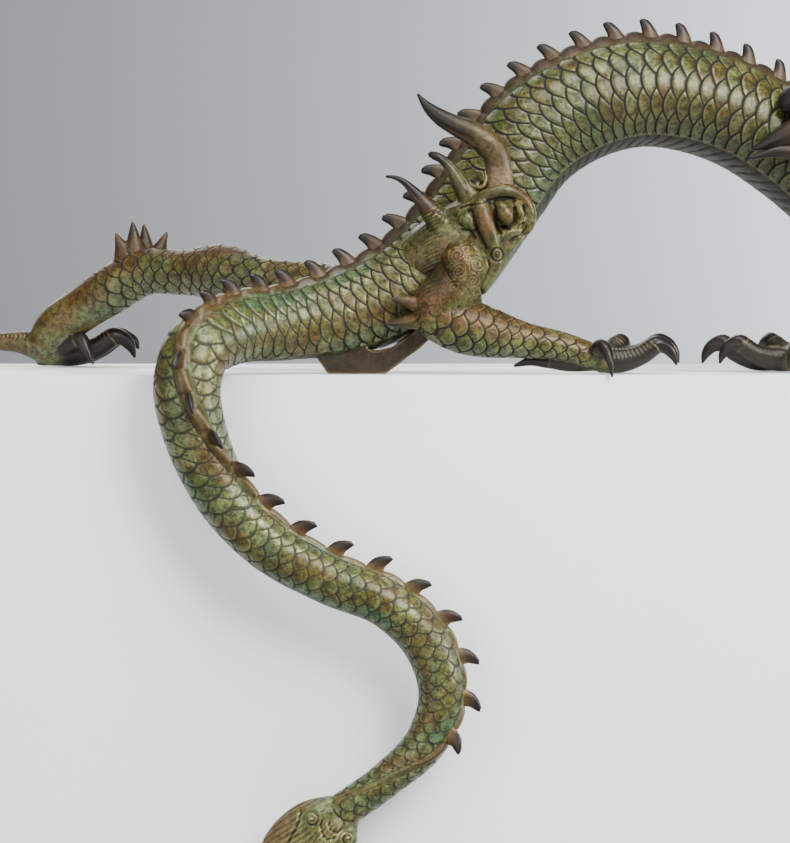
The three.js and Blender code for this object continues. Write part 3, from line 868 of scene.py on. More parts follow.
class Foot:
    """The toes of one foot without their claws, and the claws."""

    def __init__(self, at, heading, pair, scale=1.0, heel="heel", back="back", front="front",
                 claw_drop=0, claw_lift=0):
        def placed(rows, shift=(0, 0, 0)):
            return [
                [
                    at[0] + heading * scale * (f + shift[0]),
                    at[1] + scale * (b + shift[1]),
                    max(scale * (up + shift[2]), scale * r) + STAND_OFF,
                    scale * r,
                ]
                for f, b, up, r in rows
            ]

        self.toes, self.claws = [], []
        still = (0, 0, 0)
        shifts = [("forward", still), ("forward", pair), (front, still), (back, still), (heel, still)]
        for kind, shift in shifts:
            root, rows = TOES[kind]
            rows = placed(rows, shift)
            if kind == front:
                rows[-1][2] -= claw_drop
            if shift is pair:
                rows[-2][2] += claw_lift / 2
                rows[-1][2] += claw_lift
            self.toes.append(rows[: root + 1])
            claw = [list(row) for row in rows[root:]]
            ends = zip(rows[root], rows[root - 1])
            inside = [(1 - CLAW_ROOT) * here + CLAW_ROOT * before for here, before in ends]
            inside[3] = claw[0][3] * CLAW_SHARE
            claw[0][3] *= CLAW_SHARE
            self.claws.append([inside] + claw)

    def claw_piece(self, name):
        def grooved(share, around):
            side = np.abs(np.abs(around - math.pi) - math.radians(75))
            return 1 - 0.10 * bell(side / 0.16) * smoothstep(0.05, 0.3, share)

        whole = joined([tube(rows, 28, 0.9, grooved) for rows in self.claws])
        return dress(mesh_object(name, whole.points, whole.faces, CLAW))


# ---------------------------------------------------------------- legs
LEG_PITCH, LEG_ROW = 13.0, 12.5  # the scales' pitch along a leg, and the width of their rows round it
LEG_WIDTH = [(0, 26), (0.5, 22), (1, 15)]  # the reach that the rows lie on, by the share of a leg's length
LEG_RELIEF, BEAD_RELIEF, CUTICLE_RELIEF = 0.95, 0.8, 0.35
LEG_SMOOTHING = 5


def leg_piece(name, shank, foot, voxel, extra=(), scaled=(0.0, 1.0), carve=None, tints=None,
              pitch=LEG_PITCH, horny=None):
    """A leg with its toes in one skin: scales on the shank, beads on the toes.

    scaled gives the shares of the shank's length between which the scales are full. carve, tints
    and horny give a leg's own relief, tints and share of horn at its points.
    """
    limbs = [shank] + foot.toes
    obj = skin(name, [tube(rows) for rows in limbs + list(extra)], voxel, LEG_SMOOTHING)
    points, normals = read_points(obj), read_normals(obj)
    paths = [Path(rows) for rows in limbs]
    spot = Limbs(points, paths)
    on_shank = spot.which == 0
    share = spot.along / paths[0].length
    a = (paths[0].length - spot.along) / pitch
    a = a + 0.1 * np.sin(0.09 * spot.along + 2 * spot.around)
    b = np.abs(spot.around) / (LEG_ROW / table(LEG_WIDTH, share))
    behind, before, beside = scale_pattern(a, b)
    on = on_shank * smoothstep(scaled[0] - 0.05, scaled[0] + 0.03, share)
    on = on * smoothstep(scaled[1] + 0.03, scaled[1] - 0.05, share)
    edges = Edges(obj)
    torn = np.maximum(edges.jumps(a, 0.6), edges.jumps(b, 0.6))
    on = on * (1 - np.minimum(edges.smoothed(torn * 3, 2), 1))
    horn = np.zeros(len(points)) if horny is None else horny(points)
    on = on * (1 - horn)

    on_toe = ~on_shank
    to_tip = np.array([path.length for path in paths])[spot.which] - spot.along
    beads = (0.5 + 0.5 * np.cos(2 * math.pi * spot.along / BEAD)) * smoothstep(-0.1, 0.5, normals[:, 2])
    beads = beads * on_toe * smoothstep(8, 16, spot.along) * smoothstep(0, 4, to_tip)
    cuticle = on_toe * bell(to_tip / 1.6)
    lift = LEG_RELIEF * on * (scale_height(behind, before, beside) - 0.4)
    lift = lift + BEAD_RELIEF * (beads - 0.3 * on_toe) + CUTICLE_RELIEF * cuticle
    if carve is not None:
        lift = lift + carve(points)
    write_points(obj, points + normals * lift[:, None])

    low = smoothstep(0.0, -0.8, normals[:, 2])
    foot_dark = on_toe * smoothstep(2, 16, spot.along)
    mottle = np.sin(0.07 * points[:, 0] + 0.05 * points[:, 2]) * np.sin(0.09 * points[:, 2] + 1.3)
    tint = (
        0.35 + 0.35 * mottle * (1 - low) * (1 - foot_dark),
        0.85 * low * (1 - foot_dark),
        0.95 * foot_dark,
    )
    if tints is not None:
        tint = tints(points, normals, spot, *tint)
    horn_at = (0.85 * horn, 0.2 + 0.5 * smoothstep(0.5, 1, horn), 0.7 * horn)
    return dress(obj, scale_at=(a, b, on), tint=tint, horn_at=horn_at)


# Legs and toes: rows of x, y, z, radius.
NEAR_HIND = [(24, 46, 100, 30), (56, 32, 120, 33), (90, 22, 138, 30), (75, 15, 106, 26), (54, 12, 78, 25),
             (38, 13, 58, 24), (62, 15, 44, 25), (80, 17, 39, 23.5), (116, 22, 31, 16.5), (152, 26, 25, 13),
             (178, 28, 16, 12.5), (190, 28, 13, 12)]
FAR_HIND = [(-8, 62, 72, 28), (-40, 112, 78, 21), (-84, 140, 85, 17), (-125, 160, 89, 17),
            (-162, 188, 93, 26), (-203, 215, 92, 21.5), (-240, 235, 92, 22), (-273, 250, 75, 23),
            (-300, 264, 58, 21.5), (-329, 276, 37, 21), (-341, 281, 20, 18)]
NEAR_FRONT = [(420, 72, 200, 32), (448, 54, 172, 34), (478, 44, 132, 29), (474, 46, 92, 25),
              (446, 56, 62, 21), (414, 70, 40, 16), (388, 80, 24, 13), (374, 86, 15, 12)]
FAR_FRONT = [(470, 160, 148, 30), (500, 186, 128, 29), (530, 212, 92, 25), (560, 230, 62, 20),
             (590, 240, 38, 15), (612, 245, 20, 13), (622, 246, 14, 12)]

# The near haunch is a shield of muscle with a rim, lobes that hang from it and a round boss.
HAUNCH_LOBES = [
    [(48, 10, 146, 4.5), (62, 1, 150.5, 5), (76, -4, 158, 5.8), (90, -6, 163.5, 6.2), (101, -5, 165.5, 6.4),
     (110, -2, 161.5, 6.6), (117, 1, 154, 6.6), (120.5, 4, 145, 6.5), (120, 6, 136, 6.3),
     (115, 8, 129, 6)],  # rim
    [(60, 20, 138, 16), (84, 6.5, 142, 18), (102, 7.5, 143, 18.5), (107, 10, 136, 17)],  # filling in the rim
    [(72, -4, 152, 5), (77.5, -9, 150, 8), (79.6, -12, 142, 8.4), (83, -13, 131, 8.2), (87, -12, 120, 7),
     (91, -10, 110, 5)],  # long lobe
    [(92, -8, 153, 5), (97, -12, 148, 7.5), (100, -13, 142, 7.5), (102, -11, 135.5, 4)],  # drop
    [(108, -6, 154, 3.4), (112, -9, 148, 4.2), (113.5, -9, 141, 3.8), (111, -8, 135, 3)],  # crescent
    [(90, -9, 124, 4), (98, -11, 126, 5), (106, -9, 129, 5), (112, -5, 130, 5)],  # cheek
    [(58, 2, 141, 5), (66, -5, 139, 7), (72, -7, 132, 5)],  # petal
    [(108, 5, 129, 9), (93, 6, 108, 9), (79, 9, 84, 8.5), (73, 11, 73, 7.5), (71, 13, 63, 7)],  # band
    [(91, -6, 108, 6.5), (92, -8.5, 108, 5)],  # boss
    [(54, -2, 112, 15), (61, -4, 99, 17), (60, -3, 86, 13), (58, 4, 72, 10)],  # curled cushion
    [(50, 24, 120, 14), (38, 14, 141, 11.8), (29, 9.5, 151, 9)],  # roots of the horns
    [(74, 20, 140, 18), (69, 9, 156, 12.4), (62, 6.5, 167, 8.7)],
    [(89, 20, 142, 14), (93.5, 9, 166, 12.4)],
    [(70, 18, 158, 13), (74, 20, 174, 10)],  # hollow between two horns, and its lip
    [(59, 4, 181, 1.7), (65, 2, 173.5, 1.9), (72, 1, 169, 2), (78, 1, 168.5, 2), (81.5, 2, 174, 1.9),
     (81, 4, 184, 1.5)],
]
# Spiral curls on the haunch: x, z, radius.
CURLS = [(55, 108, 9), (66, 112, 7), (73, 99, 8), (57, 93, 10), (69, 84, 8), (54, 79, 8)]
CURL_PITCH, CURL_DEPTH = 3.1, 0.42
STREAK_PITCH, STREAK_DEPTH = 3.1, 0.28  # hair-like streaks that sweep from the haunch to the tail
BOSS = (92, 108)  # x, z of the rings cut round the boss
# Lines cut into the haunch: half width, depth and points x, z.
CUTS = [
    (1.3, 2.2, [(84, 103), (86, 97), (82, 87), (78, 78), (81, 68), (90, 60)]),
    (1.0, 1.6, [(58, 150), (70, 153), (86, 157), (100, 159), (107, 158)]),
    (1.1, 2.0, [(89, 152), (90, 143), (91, 134), (95, 127)]),
    (1.0, 1.8, [(96, 133), (102, 132), (107, 138), (107, 150)]),
    (1.0, 1.5, [(110, 133), (115, 136), (117, 143), (115, 152)]),
    (1.0, 1.5, [(70, 143), (72, 135), (76, 125), (82, 114)]),
    (0.9, 1.2, [(60, 131), (67, 130), (72, 124)]),
    (0.9, 1.0, [(118, 134), (113, 126), (104, 124)]),
    (0.9, 1.4, [(46, 141), (36, 148), (31, 141)]),
]
RIDGE = [(30, 138), (60, 152), (90, 164), (106, 164)]  # x, z of the worn ridge over the haunch
# Patches on the haunch: amount, x, z, size.
HAUNCH_RUST = [(0.9, 56, 97, 20), (1.0, 80, 141, 10), (0.6, 85, 126, 8), (0.6, 30, 62, 20),
               (0.45, 20, 105, 26), (0.6, 98, 143, 13)]
HAUNCH_TEAL = [(0.4, 14, 132, 16), (0.3, 112, 118, 12), (0.4, 62, 140, 8)]
# Dark patches: painted shadow in the hollow at (34, 84) and between the horns at (74, 179), and darker metal
# at the others.
HAUNCH_SHADE_AND_DARK = [(0.6, 34, 84, 15), (0.85, 74, 179, 11), (0.35, 28, 108, 26), (0.25, 100, 143, 22)]
HOCK_SPIKES = [
    [(44, 14, 62, 15), (26, 7, 62, 9), (9, 3, 66, 5), (-4, 2, 69, 1.3)],
    [(44, 14, 50, 15), (22, 9, 49, 9), (4, 7, 47, 5), (-9, 7, 46, 1.3)],
]


def line_gap(points, line):
    """Distance from each point to a line of x, z points, seen from the front."""
    flat = points[:, [0, 2]]
    gap = np.full(len(points), np.inf)
    for start, end in zip(np.array(line[:-1], float), np.array(line[1:], float)):
        run = end - start
        t = np.clip(((flat - start) @ run) / (run @ run), 0, 1)
        gap = np.minimum(gap, np.linalg.norm(flat - start - t[:, None] * run, axis=1))
    return gap


def spirals(points, curls, pitch):
    """Spiral ridges round the nearest curl: -1 to 1, and how strongly they show."""
    flat = points[:, [0, 2]]
    centres = np.array([(x, z) for x, z, _ in curls], float)
    reach = np.array([r for _, _, r in curls], float)
    away = np.linalg.norm(flat[:, None] - centres[None], axis=2)
    nearest = (away / reach).argmin(1)
    gap = away[np.arange(len(flat)), nearest]
    offset = flat - centres[nearest]
    turn = np.arctan2(offset[:, 1], offset[:, 0])
    shown = smoothstep(1.25, 0.9, gap / reach[nearest])
    return np.cos(2 * math.pi * gap / pitch - turn), shown


def carve_haunch(points):
    """The lines, rings, curls and streaks cut into the front of the haunch."""
    x, y, z = points.T
    facing = smoothstep(24, 10, y) * (z > 52)
    lift = np.zeros(len(points))
    for half, depth, line in CUTS:
        lift = lift - depth * bell(line_gap(points, line) / half)
    ring = np.hypot(x - BOSS[0], z - BOSS[1])
    lift = lift - 1.6 * bell((ring - 6) / 0.9) - 0.7 * bell((ring - 2.6) / 0.7)
    ridge, shown = spirals(points + 0.6 * np.sin(points[:, [2, 0, 0]] * 0.5), CURLS, CURL_PITCH)
    sway = z * 0.87 - x * 0.5 + 1.2 * np.sin(x * 0.16)
    streaks = np.sin(2 * math.pi * sway / STREAK_PITCH) * smoothstep(46, 34, x) * (z > 70)
    return facing * (lift + CURL_DEPTH * ridge * shown + STREAK_DEPTH * streaks)


def tint_haunch(points, normals, spot, rust, teal, dark):
    share = spot.along / Path(NEAR_HIND).length
    on_shank = (spot.which == 0) * smoothstep(0.42, 0.52, share)
    upper = smoothstep(-0.35, 0.25, normals[:, 2])
    ridge = bell(line_gap(points, RIDGE) / 7)
    rust = 0.15 + patches(points, HAUNCH_RUST) + 0.5 * ridge
    rust = rust + on_shank * upper * (0.9 - 0.45 * smoothstep(0.62, 0.9, share))
    teal = 0.5 * teal + patches(points, HAUNCH_TEAL)
    # painted shadow in the haunch's hollows from the dark patches, and a darker ridge
    dark = dark + patches(points, HAUNCH_SHADE_AND_DARK) + 0.4 * ridge
    return rust * (1 - 0.7 * dark), teal * (1 - blob(points, 58, 97, 22)), dark


def hock_horn(points):
    """How far each point lies out along the spikes at the near hock."""
    return smoothstep(34, -6, points[:, 0]) * (points[:, 1] < 26) * smoothstep(78, 72, points[:, 2])


def crown_horn(points):
    """How far each point lies up the crown of spikes above the far knee."""
    return smoothstep(106, 140, points[:, 2]) ** 0.5


def tint_far(points, normals, spot, rust, teal, dark):
    """The far hind leg: rust on its upper side, curls on the knee, a pale heel and a dark crown."""
    x, _, z = points.T
    crown = smoothstep(104, 114, z)
    curls = np.sin(0.55 * x + 3 * np.sin(0.12 * z)) * np.sin(0.5 * z + 1)
    upper = smoothstep(-180, -300, x) * smoothstep(-0.3, 0.4, normals[:, 2])
    heel = smoothstep(-352, -364, x)
    rust = rust + 0.35 * upper + crown + 0.25 * curls
    return rust, teal * (1 - crown), (dark + 0.08 + 0.3 * crown) * (1 - 0.7 * heel)


feet = {
    "near_hind": Foot((185, 28), 1, (3, 17, 2), claw_drop=5),
    "far_hind": Foot((-332, 283), 1, (2, 20, 0), 1.12, "tall_heel", "low_back", "long_front", claw_lift=8),
    "near_front": Foot((370, 88), -1, (15, 13, 0)),
    "far_front": Foot((618, 247), 1, (3, 17, 2)),
}
CROWN = [
    [(-256, 240, 100, 16), (-261, 238, 114, 8.5), (-265, 236, 123, 4), (-268, 235, 130, 1.2)],
    [(-248, 240, 100, 17), (-250, 239, 118, 8.5), (-251, 239, 131, 4.6), (-252, 239, 141, 1.3)],
    [(-240, 246, 100, 15), (-240, 249, 118, 7.5), (-241, 251, 130, 4), (-242, 252, 139, 1.2)],
    [(-230, 237, 98, 16), (-226, 236, 113, 8), (-222, 235, 123, 4), (-218, 235, 131, 1.2)],
]

FAR_PALM = [(-345, 283, 21, 19.5), (-330, 284, 18.5, 18), (-306, 283, 13, 12.5)]

leg_near_hind = leg_piece(
    "leg_near_hind", NEAR_HIND, feet["near_hind"], 1.1, HAUNCH_LOBES + HOCK_SPIKES, (0.5, 0.97),
    carve_haunch, tint_haunch, horny=hock_horn
)
leg_far_hind = leg_piece(
    "leg_far_hind", FAR_HIND, feet["far_hind"], 1.35, CROWN + [FAR_PALM], (0.0, 0.82), tints=tint_far,
    pitch=14.5, horny=crown_horn
)
leg_near_front = leg_piece("leg_near_front", NEAR_FRONT, feet["near_front"], 1.9)
leg_far_front = leg_piece("leg_far_front", FAR_FRONT, feet["far_front"], 1.9)
claws = [foot.claw_piece("claws_" + name) for name, foot in feet.items()]


# ---------------------------------------------------------------- flames at the hip and the shoulder
def cut_along(turn, start, end, depth=0.16):
    """A line cut along a horn at one angle round it, between two shares of its length."""

    def shape(share, around):
        off = (around - turn + math.pi) % (2 * math.pi) - math.pi
        shown = smoothstep(start, start + 0.08, share) * smoothstep(end, end - 0.06, share)
        return 1 - depth * bell(off / 0.17) * shown + 0.03 * np.sin(3 * around) * (1 - share)

    return shape


# Horns at the hip: rows, where the cut line runs, and the root, which is how pale it is, below zero,
# or else the share of the length that is olive.
HIP_HORNS = [
    ([(89, 22, 142, 13), (94, 9, 170, 12), (91.5, 5, 194, 12), (87, 3, 204, 12), (77, 2, 212.5, 11.6),
      (67, 1, 218.5, 10.8), (54.5, 0, 224, 9.2), (40, 0, 232, 7.4), (30, 0, 240, 5), (24, 0, 247, 2.6),
      (20.5, 0, 252, 1.1)], cut_along(1.05, 0.5, 0.97), -0.55),
    ([(74, 20, 140, 17), (69, 9, 157, 12), (61, 6, 169, 9), (55, 4, 179, 7), (49, 3, 187.5, 5.4),
      (41, 2, 194.5, 4), (34, 1, 197.5, 3.5), (30.5, 1, 198.5, 2)], cut_along(2.0, 0.4, 0.9), 0.85),
    ([(50, 26, 120, 13), (37, 14, 142, 11), (28.5, 9, 151.5, 8.6), (22.5, 7, 158.5, 6.4), (15, 6, 167, 4.3),
      (8, 5, 173.5, 3), (0, 4, 177.5, 2), (-8, 3, 178.4, 1.1)], cut_along(1.2, 0.55, 0.95), 0.5),
]
HORN_MIDDLE = 0.45  # where a hip horn's root ends and its tip begins, as a share of its length
SHOULDER_FLAMES = [
    [(418, 66, 226, 22), (392, 60, 242, 19), (362, 58, 248, 15), (352, 58, 246, 8)],
    [(420, 62, 206, 22), (372, 52, 222, 14), (346, 50, 212, 8), (325, 50, 204, 1.4)],
    [(424, 56, 182, 20), (384, 48, 196, 9), (352, 46, 202, 6), (322, 46, 196, 1.2)],
    [(488, 46, 118, 18), (512, 40, 108, 8), (536, 38, 112, 1.4)],
    [(488, 46, 104, 18), (510, 42, 92, 8), (530, 40, 88, 1.4)],
]


def hip_horn_piece():
    """Pale or olive roots, orange-brown middles, and dark tips, with painted shade on the lower faces
    below their cut lines.
    """
    solids = [tube(rows, 40, 1.6, cut) for rows, cut, _ in HIP_HORNS]
    whole = joined(solids)
    obj = mesh_object("hip_horns", whole.points, whole.faces, PATINA)
    root = np.repeat([row[2] for row in HIP_HORNS], [len(solid.points) for solid in solids])
    share, around = whole.share, whole.around
    pale = root < 0
    # painted shade on each horn's lower face, below its cut line
    shade_below = smoothstep(1.0, 1.5, around) * smoothstep(4.6, 4.0, around) * smoothstep(0.5, 0.66, share)
    to_root = np.minimum(root, 0) * (1 - share / HORN_MIDDLE)
    to_tip = (share - HORN_MIDDLE) / (1 - HORN_MIDDLE)
    tip = np.where(share < HORN_MIDDLE, to_root, to_tip) + 0.5 * shade_below
    middle = bell((share - 0.5) / 0.17)
    olive = ~pale * smoothstep(0.0, -0.25, share - root)
    horn = 1 - 0.75 * middle * pale - 0.85 * olive
    tint = (0.8 * middle * pale + 0.4 * olive, 0, 0.2 * middle + 0.2 * olive)
    return dress(obj, horn_at=(np.clip(horn, 0, 1), np.clip(tip, -1, 1), 0.2), tint=tint)


hip_horns = hip_horn_piece()
flame_solids = [tube(rows, 32, 2, cut_along(1.2, 0.2, 0.9)) for rows in SHOULDER_FLAMES]
shoulder_flames = horn_piece("shoulder_flames", flame_solids, 0.8, -0.2, 0.95)


# ---------------------------------------------------------------- bracket under the belly
BRACKET_Y = (28, 40)
BRACKET_OUTLINE = [(-61, 0.4), (-8, 0.4), (18, 20), (44, 42), (30, 52), (14, 36), (-2, 25), (-18, 21),
                   (-24, 23), (-26, 29), (-22, 34), (-40, 50), (-84, 34), (-70, 13)]


def bracket_piece():
    """A flat plate cut to the outline, softened at its edges."""
    count = len(BRACKET_OUTLINE)
    points = np.array([(x, y, z) for y in BRACKET_Y for x, z in BRACKET_OUTLINE], float)
    corners = [Vector((x, z, 0)) for x, z in BRACKET_OUTLINE]
    caps = np.array([list(face) for face in tessellate_polygon([corners])])
    side = np.arange(count)
    after = (side + 1) % count
    faces = np.vstack(
        [
            caps,
            caps[:, ::-1] + count,
            np.stack([side, side + count, after + count], -1),
            np.stack([side, after + count, after], -1),
        ]
    )
    flat = np.zeros(len(points))
    obj = skin("bracket", [Solid(points, faces, flat, flat)], 1.1, 4)
    points, normals = read_points(obj), read_normals(obj)
    x, _, z = points.T
    waves = np.sin(0.21 * x + 0.13 * z) * np.sin(0.17 * z - 0.08 * x)
    write_points(obj, points + 0.35 * normals * (waves * (z > 2))[:, None])
    arm = smoothstep(-10, 30, x)
    return dress(obj, tint=(0.7 + 0.3 * arm, 0, 0.8 - 0.1 * arm))


bracket = bracket_piece()


# ---------------------------------------------------------------- tuft at the end of the tail
TUFT = [
    [(-50, -42, -388, 16), (-76, -43, -402, 23), (-98, -44, -426, 23), (-108, -43, -458, 16),
     (-98, -42, -500, 2)],
    [(-46, -42, -388, 15), (-62, -46, -416, 23), (-68, -46, -446, 19), (-60, -44, -486, 10),
     (-68, -42, -520, 1.6)],
    [(-44, -42, -386, 13), (-47, -43, -408, 13), (-48, -44, -438, 13), (-36, -43, -470, 9),
     (-18, -42, -496, 1.6)],
]
TUFT_FLATTEN = 0.8
HAIRS = 26  # hair ridges round a lock
TUFT_BOSS, TUFT_SPIRAL = (-74, -393), (-42, -411)  # x, z
TUFT_CURLS = [(*TUFT_BOSS, 8), (*TUFT_SPIRAL, 8)]
TUFT_CUTS = [  # lines of x, z
    [(-64, -392), (-66, -399), (-64, -407), (-60, -411), (-54, -409)],
    [(-57, -391), (-59, -397), (-57, -402), (-52, -405), (-46, -402)],
    [(-84, -386), (-86, -396), (-92, -408), (-98, -420)],
]
TUFT_TEAL = [(1.0, -42, -390, 18), (0.6, -84, -398, 10)]  # amount, x, z, size


def tuft_piece():
    """Three locks of hair with a boss and a spiral at their root."""
    boss = [(TUFT_BOSS[0], -58, TUFT_BOSS[1], 6), (TUFT_BOSS[0], -62, TUFT_BOSS[1], 4.4)]
    spiral = [(TUFT_SPIRAL[0], -50, TUFT_SPIRAL[1], 9), (TUFT_SPIRAL[0], -57, TUFT_SPIRAL[1], 6)]
    solids = [tube(rows, flatten=TUFT_FLATTEN) for rows in TUFT] + [tube(boss), tube(spiral)]
    obj = skin("tail_tuft", solids, 1.15, 3)
    points, normals = read_points(obj), read_normals(obj)
    spot = Limbs(points, [Path(rows) for rows in TUFT])
    sway = 0.5 * np.sin(0.05 * spot.along + spot.which)
    hair = np.abs(np.sin(0.5 * HAIRS * (spot.around + sway)))
    ridge, shown = spirals(points, TUFT_CURLS, 4.0)
    front = smoothstep(-45, -52, points[:, 1])
    shown = shown * front
    lift = (1 - shown) * (hair - 0.6) + shown * 0.6 * ridge
    for line in TUFT_CUTS:
        lift = lift - 1.6 * front * bell(line_gap(points, line) / 1.1)
    root = smoothstep(2, 22, spot.along)
    write_points(obj, points + normals * (lift * root)[:, None])
    gold = smoothstep(-75, -105, points[:, 0]) + 0.6 * smoothstep(-430, -470, points[:, 2])
    teal = patches(points, TUFT_TEAL)
    return dress(obj, tint=(gold * 0.6 + 0.15, teal, 0))


tail_tuft = tuft_piece()


# ---------------------------------------------------------------- head
SKULL = [(600, 96, 262, 24), (622, 90, 282, 30), (646, 83, 288, 27), (668, 77, 280, 21), (692, 70, 272, 18),
         (708, 65, 272, 16), (717, 62, 268, 10)]
JAW = [(620, 90, 262, 21), (644, 83, 250, 15), (668, 77, 241, 11.5), (690, 70, 238, 9.5), (702, 67, 240, 7)]
HEAD_HORNS = [
    [(628, 72, 304, 8), (606, 62, 322, 6.6), (580, 56, 332, 5.4), (552, 52, 348, 1.4)],
    [(640, 106, 304, 8), (622, 118, 322, 6.6), (598, 126, 332, 5.4), (572, 130, 348, 1.4)],
    [(592, 59, 328, 5), (580, 54, 342, 3.6), (576, 50, 356, 1.2)],
    [(610, 122, 328, 5), (600, 130, 342, 3.6), (598, 134, 356, 1.2)],
]
MANE = [
    [(618, 72, 276, 15), (592, 54, 284, 9), (564, 44, 300, 1.4)],
    [(616, 70, 262, 15), (588, 52, 262, 9), (556, 44, 270, 1.4)],
    [(620, 72, 246, 14), (594, 56, 238, 8), (566, 48, 240, 1.4)],
    [(634, 114, 276, 15), (614, 130, 284, 9), (590, 142, 300, 1.4)],
    [(632, 114, 262, 15), (610, 132, 262, 9), (582, 144, 270, 1.4)],
    [(634, 112, 246, 14), (614, 128, 238, 8), (590, 138, 240, 1.4)],
    [(668, 77, 236, 9), (660, 76, 218, 6), (646, 76, 204, 1.2)],
    [(688, 71, 234, 8), (684, 68, 218, 5), (674, 66, 206, 1.2)],
]
WHISKERS = [
    [(704, 54, 268, 5), (720, 42, 264, 3.4), (734, 34, 244, 2.8), (730, 30, 220, 1.6)],
    [(710, 76, 268, 5), (730, 84, 264, 3.4), (744, 92, 244, 2.8), (742, 96, 220, 1.6)],
]
# Offsets to the near side of the head's middle line: x, off, z, radius.
FACE_TUBES = [
    [(634, 16, 306, 5), (650, 19, 309, 6.5), (664, 17, 303, 5), (674, 13, 296, 3)],  # brow
    [(640, 24, 292, 5), (652, 23, 286, 5.5), (666, 20, 284, 4.5), (676, 17, 286, 3)],  # lower lid
    [(704, 8, 286, 6), (712, 8, 282, 5)],  # nostril
    [(652, 20, 272, 6), (674, 18, 264, 4.5), (698, 15, 260, 4), (712, 10, 259, 3.5)],  # lip
    [(628, 24, 270, 9), (646, 21, 268, 7)],  # cheek
    [(676, 0, 300, 3), (692, 0, 292, 4), (706, 0, 288, 4)],  # bridge of the nose
]
EYE = (657, 21, 297, 6.5)
TEETH_X = np.linspace(664, 706, 8)
FANG_X = 700  # teeth in front of this are fangs


def head_middle(x):
    return np.interp(x, [row[0] for row in SKULL], [row[1] for row in SKULL])


def on_head(rows, side):
    """Rows of x, off, z, radius as places on the near (-1) or the far (1) side of the head."""
    return [(x, float(head_middle(x)) + side * off, z, r) for x, off, z, r in rows]


def head_piece():
    """Skull, jaw, mane and the soft parts of the face in one skin."""
    solids = [tube(SKULL), tube(JAW)] + [tube(rows, flatten=0.8) for rows in MANE]
    for side in (-1, 1):
        solids += [tube(on_head(rows, side)) for rows in FACE_TUBES]
    obj = skin("head", solids, 1.55, 4)
    points, normals = read_points(obj), read_normals(obj)
    spot = Limbs(points, [Path(SKULL), Path(JAW)] + [Path(rows) for rows in MANE])
    lock = spot.which >= 2
    hair = np.abs(np.sin(5 * spot.around)) * lock * smoothstep(6, 18, spot.along)
    wrinkles = np.cos(2 * math.pi * spot.along / 7.5) * (spot.which == 0)
    wrinkles = wrinkles * smoothstep(0.3, 0.9, normals[:, 2])
    lift = 0.9 * (hair - 0.5 * lock) + 0.5 * wrinkles * smoothstep(70, 80, spot.along)
    write_points(obj, points + normals * lift[:, None])
    low = smoothstep(0, -0.8, normals[:, 2])
    return dress(obj, tint=(0.35 + 0.3 * lock, 0.7 * low, 0.1))


def face_details():
    """Eyes and teeth, as domes and pointed cones set into the head."""
    x, off, z, r = EYE
    eye = [(x - 1, off - 5, z, r), (x, off, z, r * 0.8), (x, off + 2.4, z, r * 0.4)]
    solids = []
    for side in (-1, 1):
        solids.append(tube(on_head(eye, side)))
        for tooth in TEETH_X:
            size = 2.2 + 1.4 * (tooth > FANG_X)
            gum = 14 - 0.12 * (tooth - TEETH_X[0])
            upper = [(tooth, gum, 262, size), (tooth + 1, gum, 252, 0.5)]
            lower = [(tooth - 3, 9, 244, size), (tooth - 2, 9, 253, 0.5)]
            solids += [tube(on_head(rows, side), 12, 1.5) for rows in (upper, lower)]
    whole = joined(solids)
    return dress(mesh_object("eyes_and_teeth", whole.points, whole.faces, CLAW))


head = head_piece()
eyes_and_teeth = face_details()
head_horn_solids = [tube(rows, 28, 1.8, cut_along(1.2, 0.2, 0.9)) for rows in HEAD_HORNS]
head_horns = horn_piece("head_horns", head_horn_solids, 0.3)
whiskers = horn_piece("whiskers", [tube(rows, 18, 2) for rows in WHISKERS], 0.7, 0.1, 0.9)


# ---------------------------------------------------------------- camera, light and stage
def place(x, y, z):
    """A place in the ledge frame, in the row frame's metres."""
    return Vector(ledge_to_row((x, y, z)))


def aimed(obj, at, target):
    """Put an object into the scene so that it looks at the target."""
    bpy.context.scene.collection.objects.link(obj)
    obj.location = place(*at)
    obj.rotation_euler = (place(*target) - obj.location).to_track_quat("-Z", "Y").to_euler()
    return obj


# The camera stands far off, a hand's breadth above the plinth's top, and aims at the photo's middle.
camera = aimed(
    bpy.data.objects.new("camera", bpy.data.cameras.new("camera")), (0, -3500, 95), (0, 0, -41.85)
)
camera.data.sensor_width = 36
camera.data.lens = 166.2
camera.data.clip_end = 50
bpy.context.scene.camera = camera

WARM, WHITE = (1.0, 0.97, 0.91), (1.0, 1.0, 1.0)
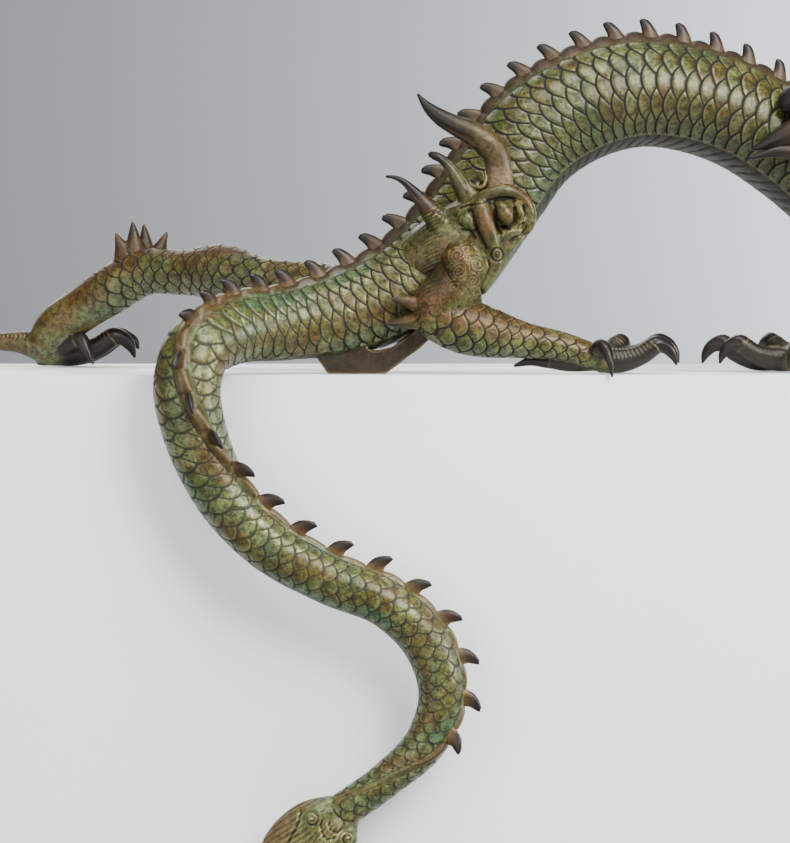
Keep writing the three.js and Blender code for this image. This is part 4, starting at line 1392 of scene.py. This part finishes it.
# Lights: name, place, target, width and height in metres, watts, colour.
LIGHTS = [
    ("key", (1425, -2040, 1580), (50, 0, 0), (1.4, 1.4), 180, WARM),
    ("fill", (-1700, -2400, 300), (50, 0, -100), (2.4, 2.4), 78, WARM),
    ("overhead", (-100, -900, 3200), (50, 50, 100), (1.8, 1.0), 120, WARM),
    ("side", (2400, -500, 300), (300, 0, 0), (0.8, 0.8), 60, WARM),
    ("back", (-700, 3200, 1700), (50, 0, -100), (2.4, 2.4), 70, WARM),
    ("wall_wash", (4200, 8300, 900), (2500, 10000, 400), (1.5, 1.5), 900, WHITE),
]
for name, at, target, size, power, colour in LIGHTS:
    light = bpy.data.lights.new(name, "AREA")
    light.shape = "RECTANGLE"
    light.size, light.size_y = size
    light.energy = power
    light.color = colour
    aimed(bpy.data.objects.new(name, light), at, target).visible_camera = False

world = bpy.data.worlds.new("world")
world.use_nodes = True
sky = world.node_tree.nodes["Background"].inputs
sky["Color"].default_value = (0.97, 0.98, 1.0, 1)
sky["Strength"].default_value = 0.36
bpy.context.scene.world = world


def backdrop():
    """A floor that sweeps up into a wall, which stands beyond a camera that looks from behind."""
    floor_z = -PLINTH_HIGH.z * 1000
    bend, back, front, half, top, steps = 1500, 10000, -20000, 20000, 6000, 12
    turns = [math.pi / 2 * i / steps for i in range(1, steps + 1)]
    line = [(front, floor_z), (back - bend, floor_z)]
    line += [(back - bend + bend * math.sin(t), floor_z + bend * (1 - math.cos(t))) for t in turns]
    line.append((back, top))
    points = [(x, y, z) for y, z in line for x in (-half, half)]
    faces = [(2 * i, 2 * i + 1, 2 * i + 3, 2 * i + 2) for i in range(len(line) - 1)]
    return mesh_object("backdrop", points, faces, Nodes("stage").finish(STAGE_GREY, 0.85))


backdrop()

# ---------------------------------------------------------------- hand over
pieces = [body_tail, body_arch, body_neck, spines, leg_near_hind, leg_far_hind, leg_near_front, leg_far_front,
          *claws, hip_horns, shoulder_flames, bracket, tail_tuft, head, eyes_and_teeth, head_horns,
          whiskers]
for piece in pieces:
    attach(piece, "root")
    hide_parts("dragon")
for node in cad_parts.values():
    if node.name == "plinth":
        node.data.materials.clear()
        node.data.materials.append(BOARD)
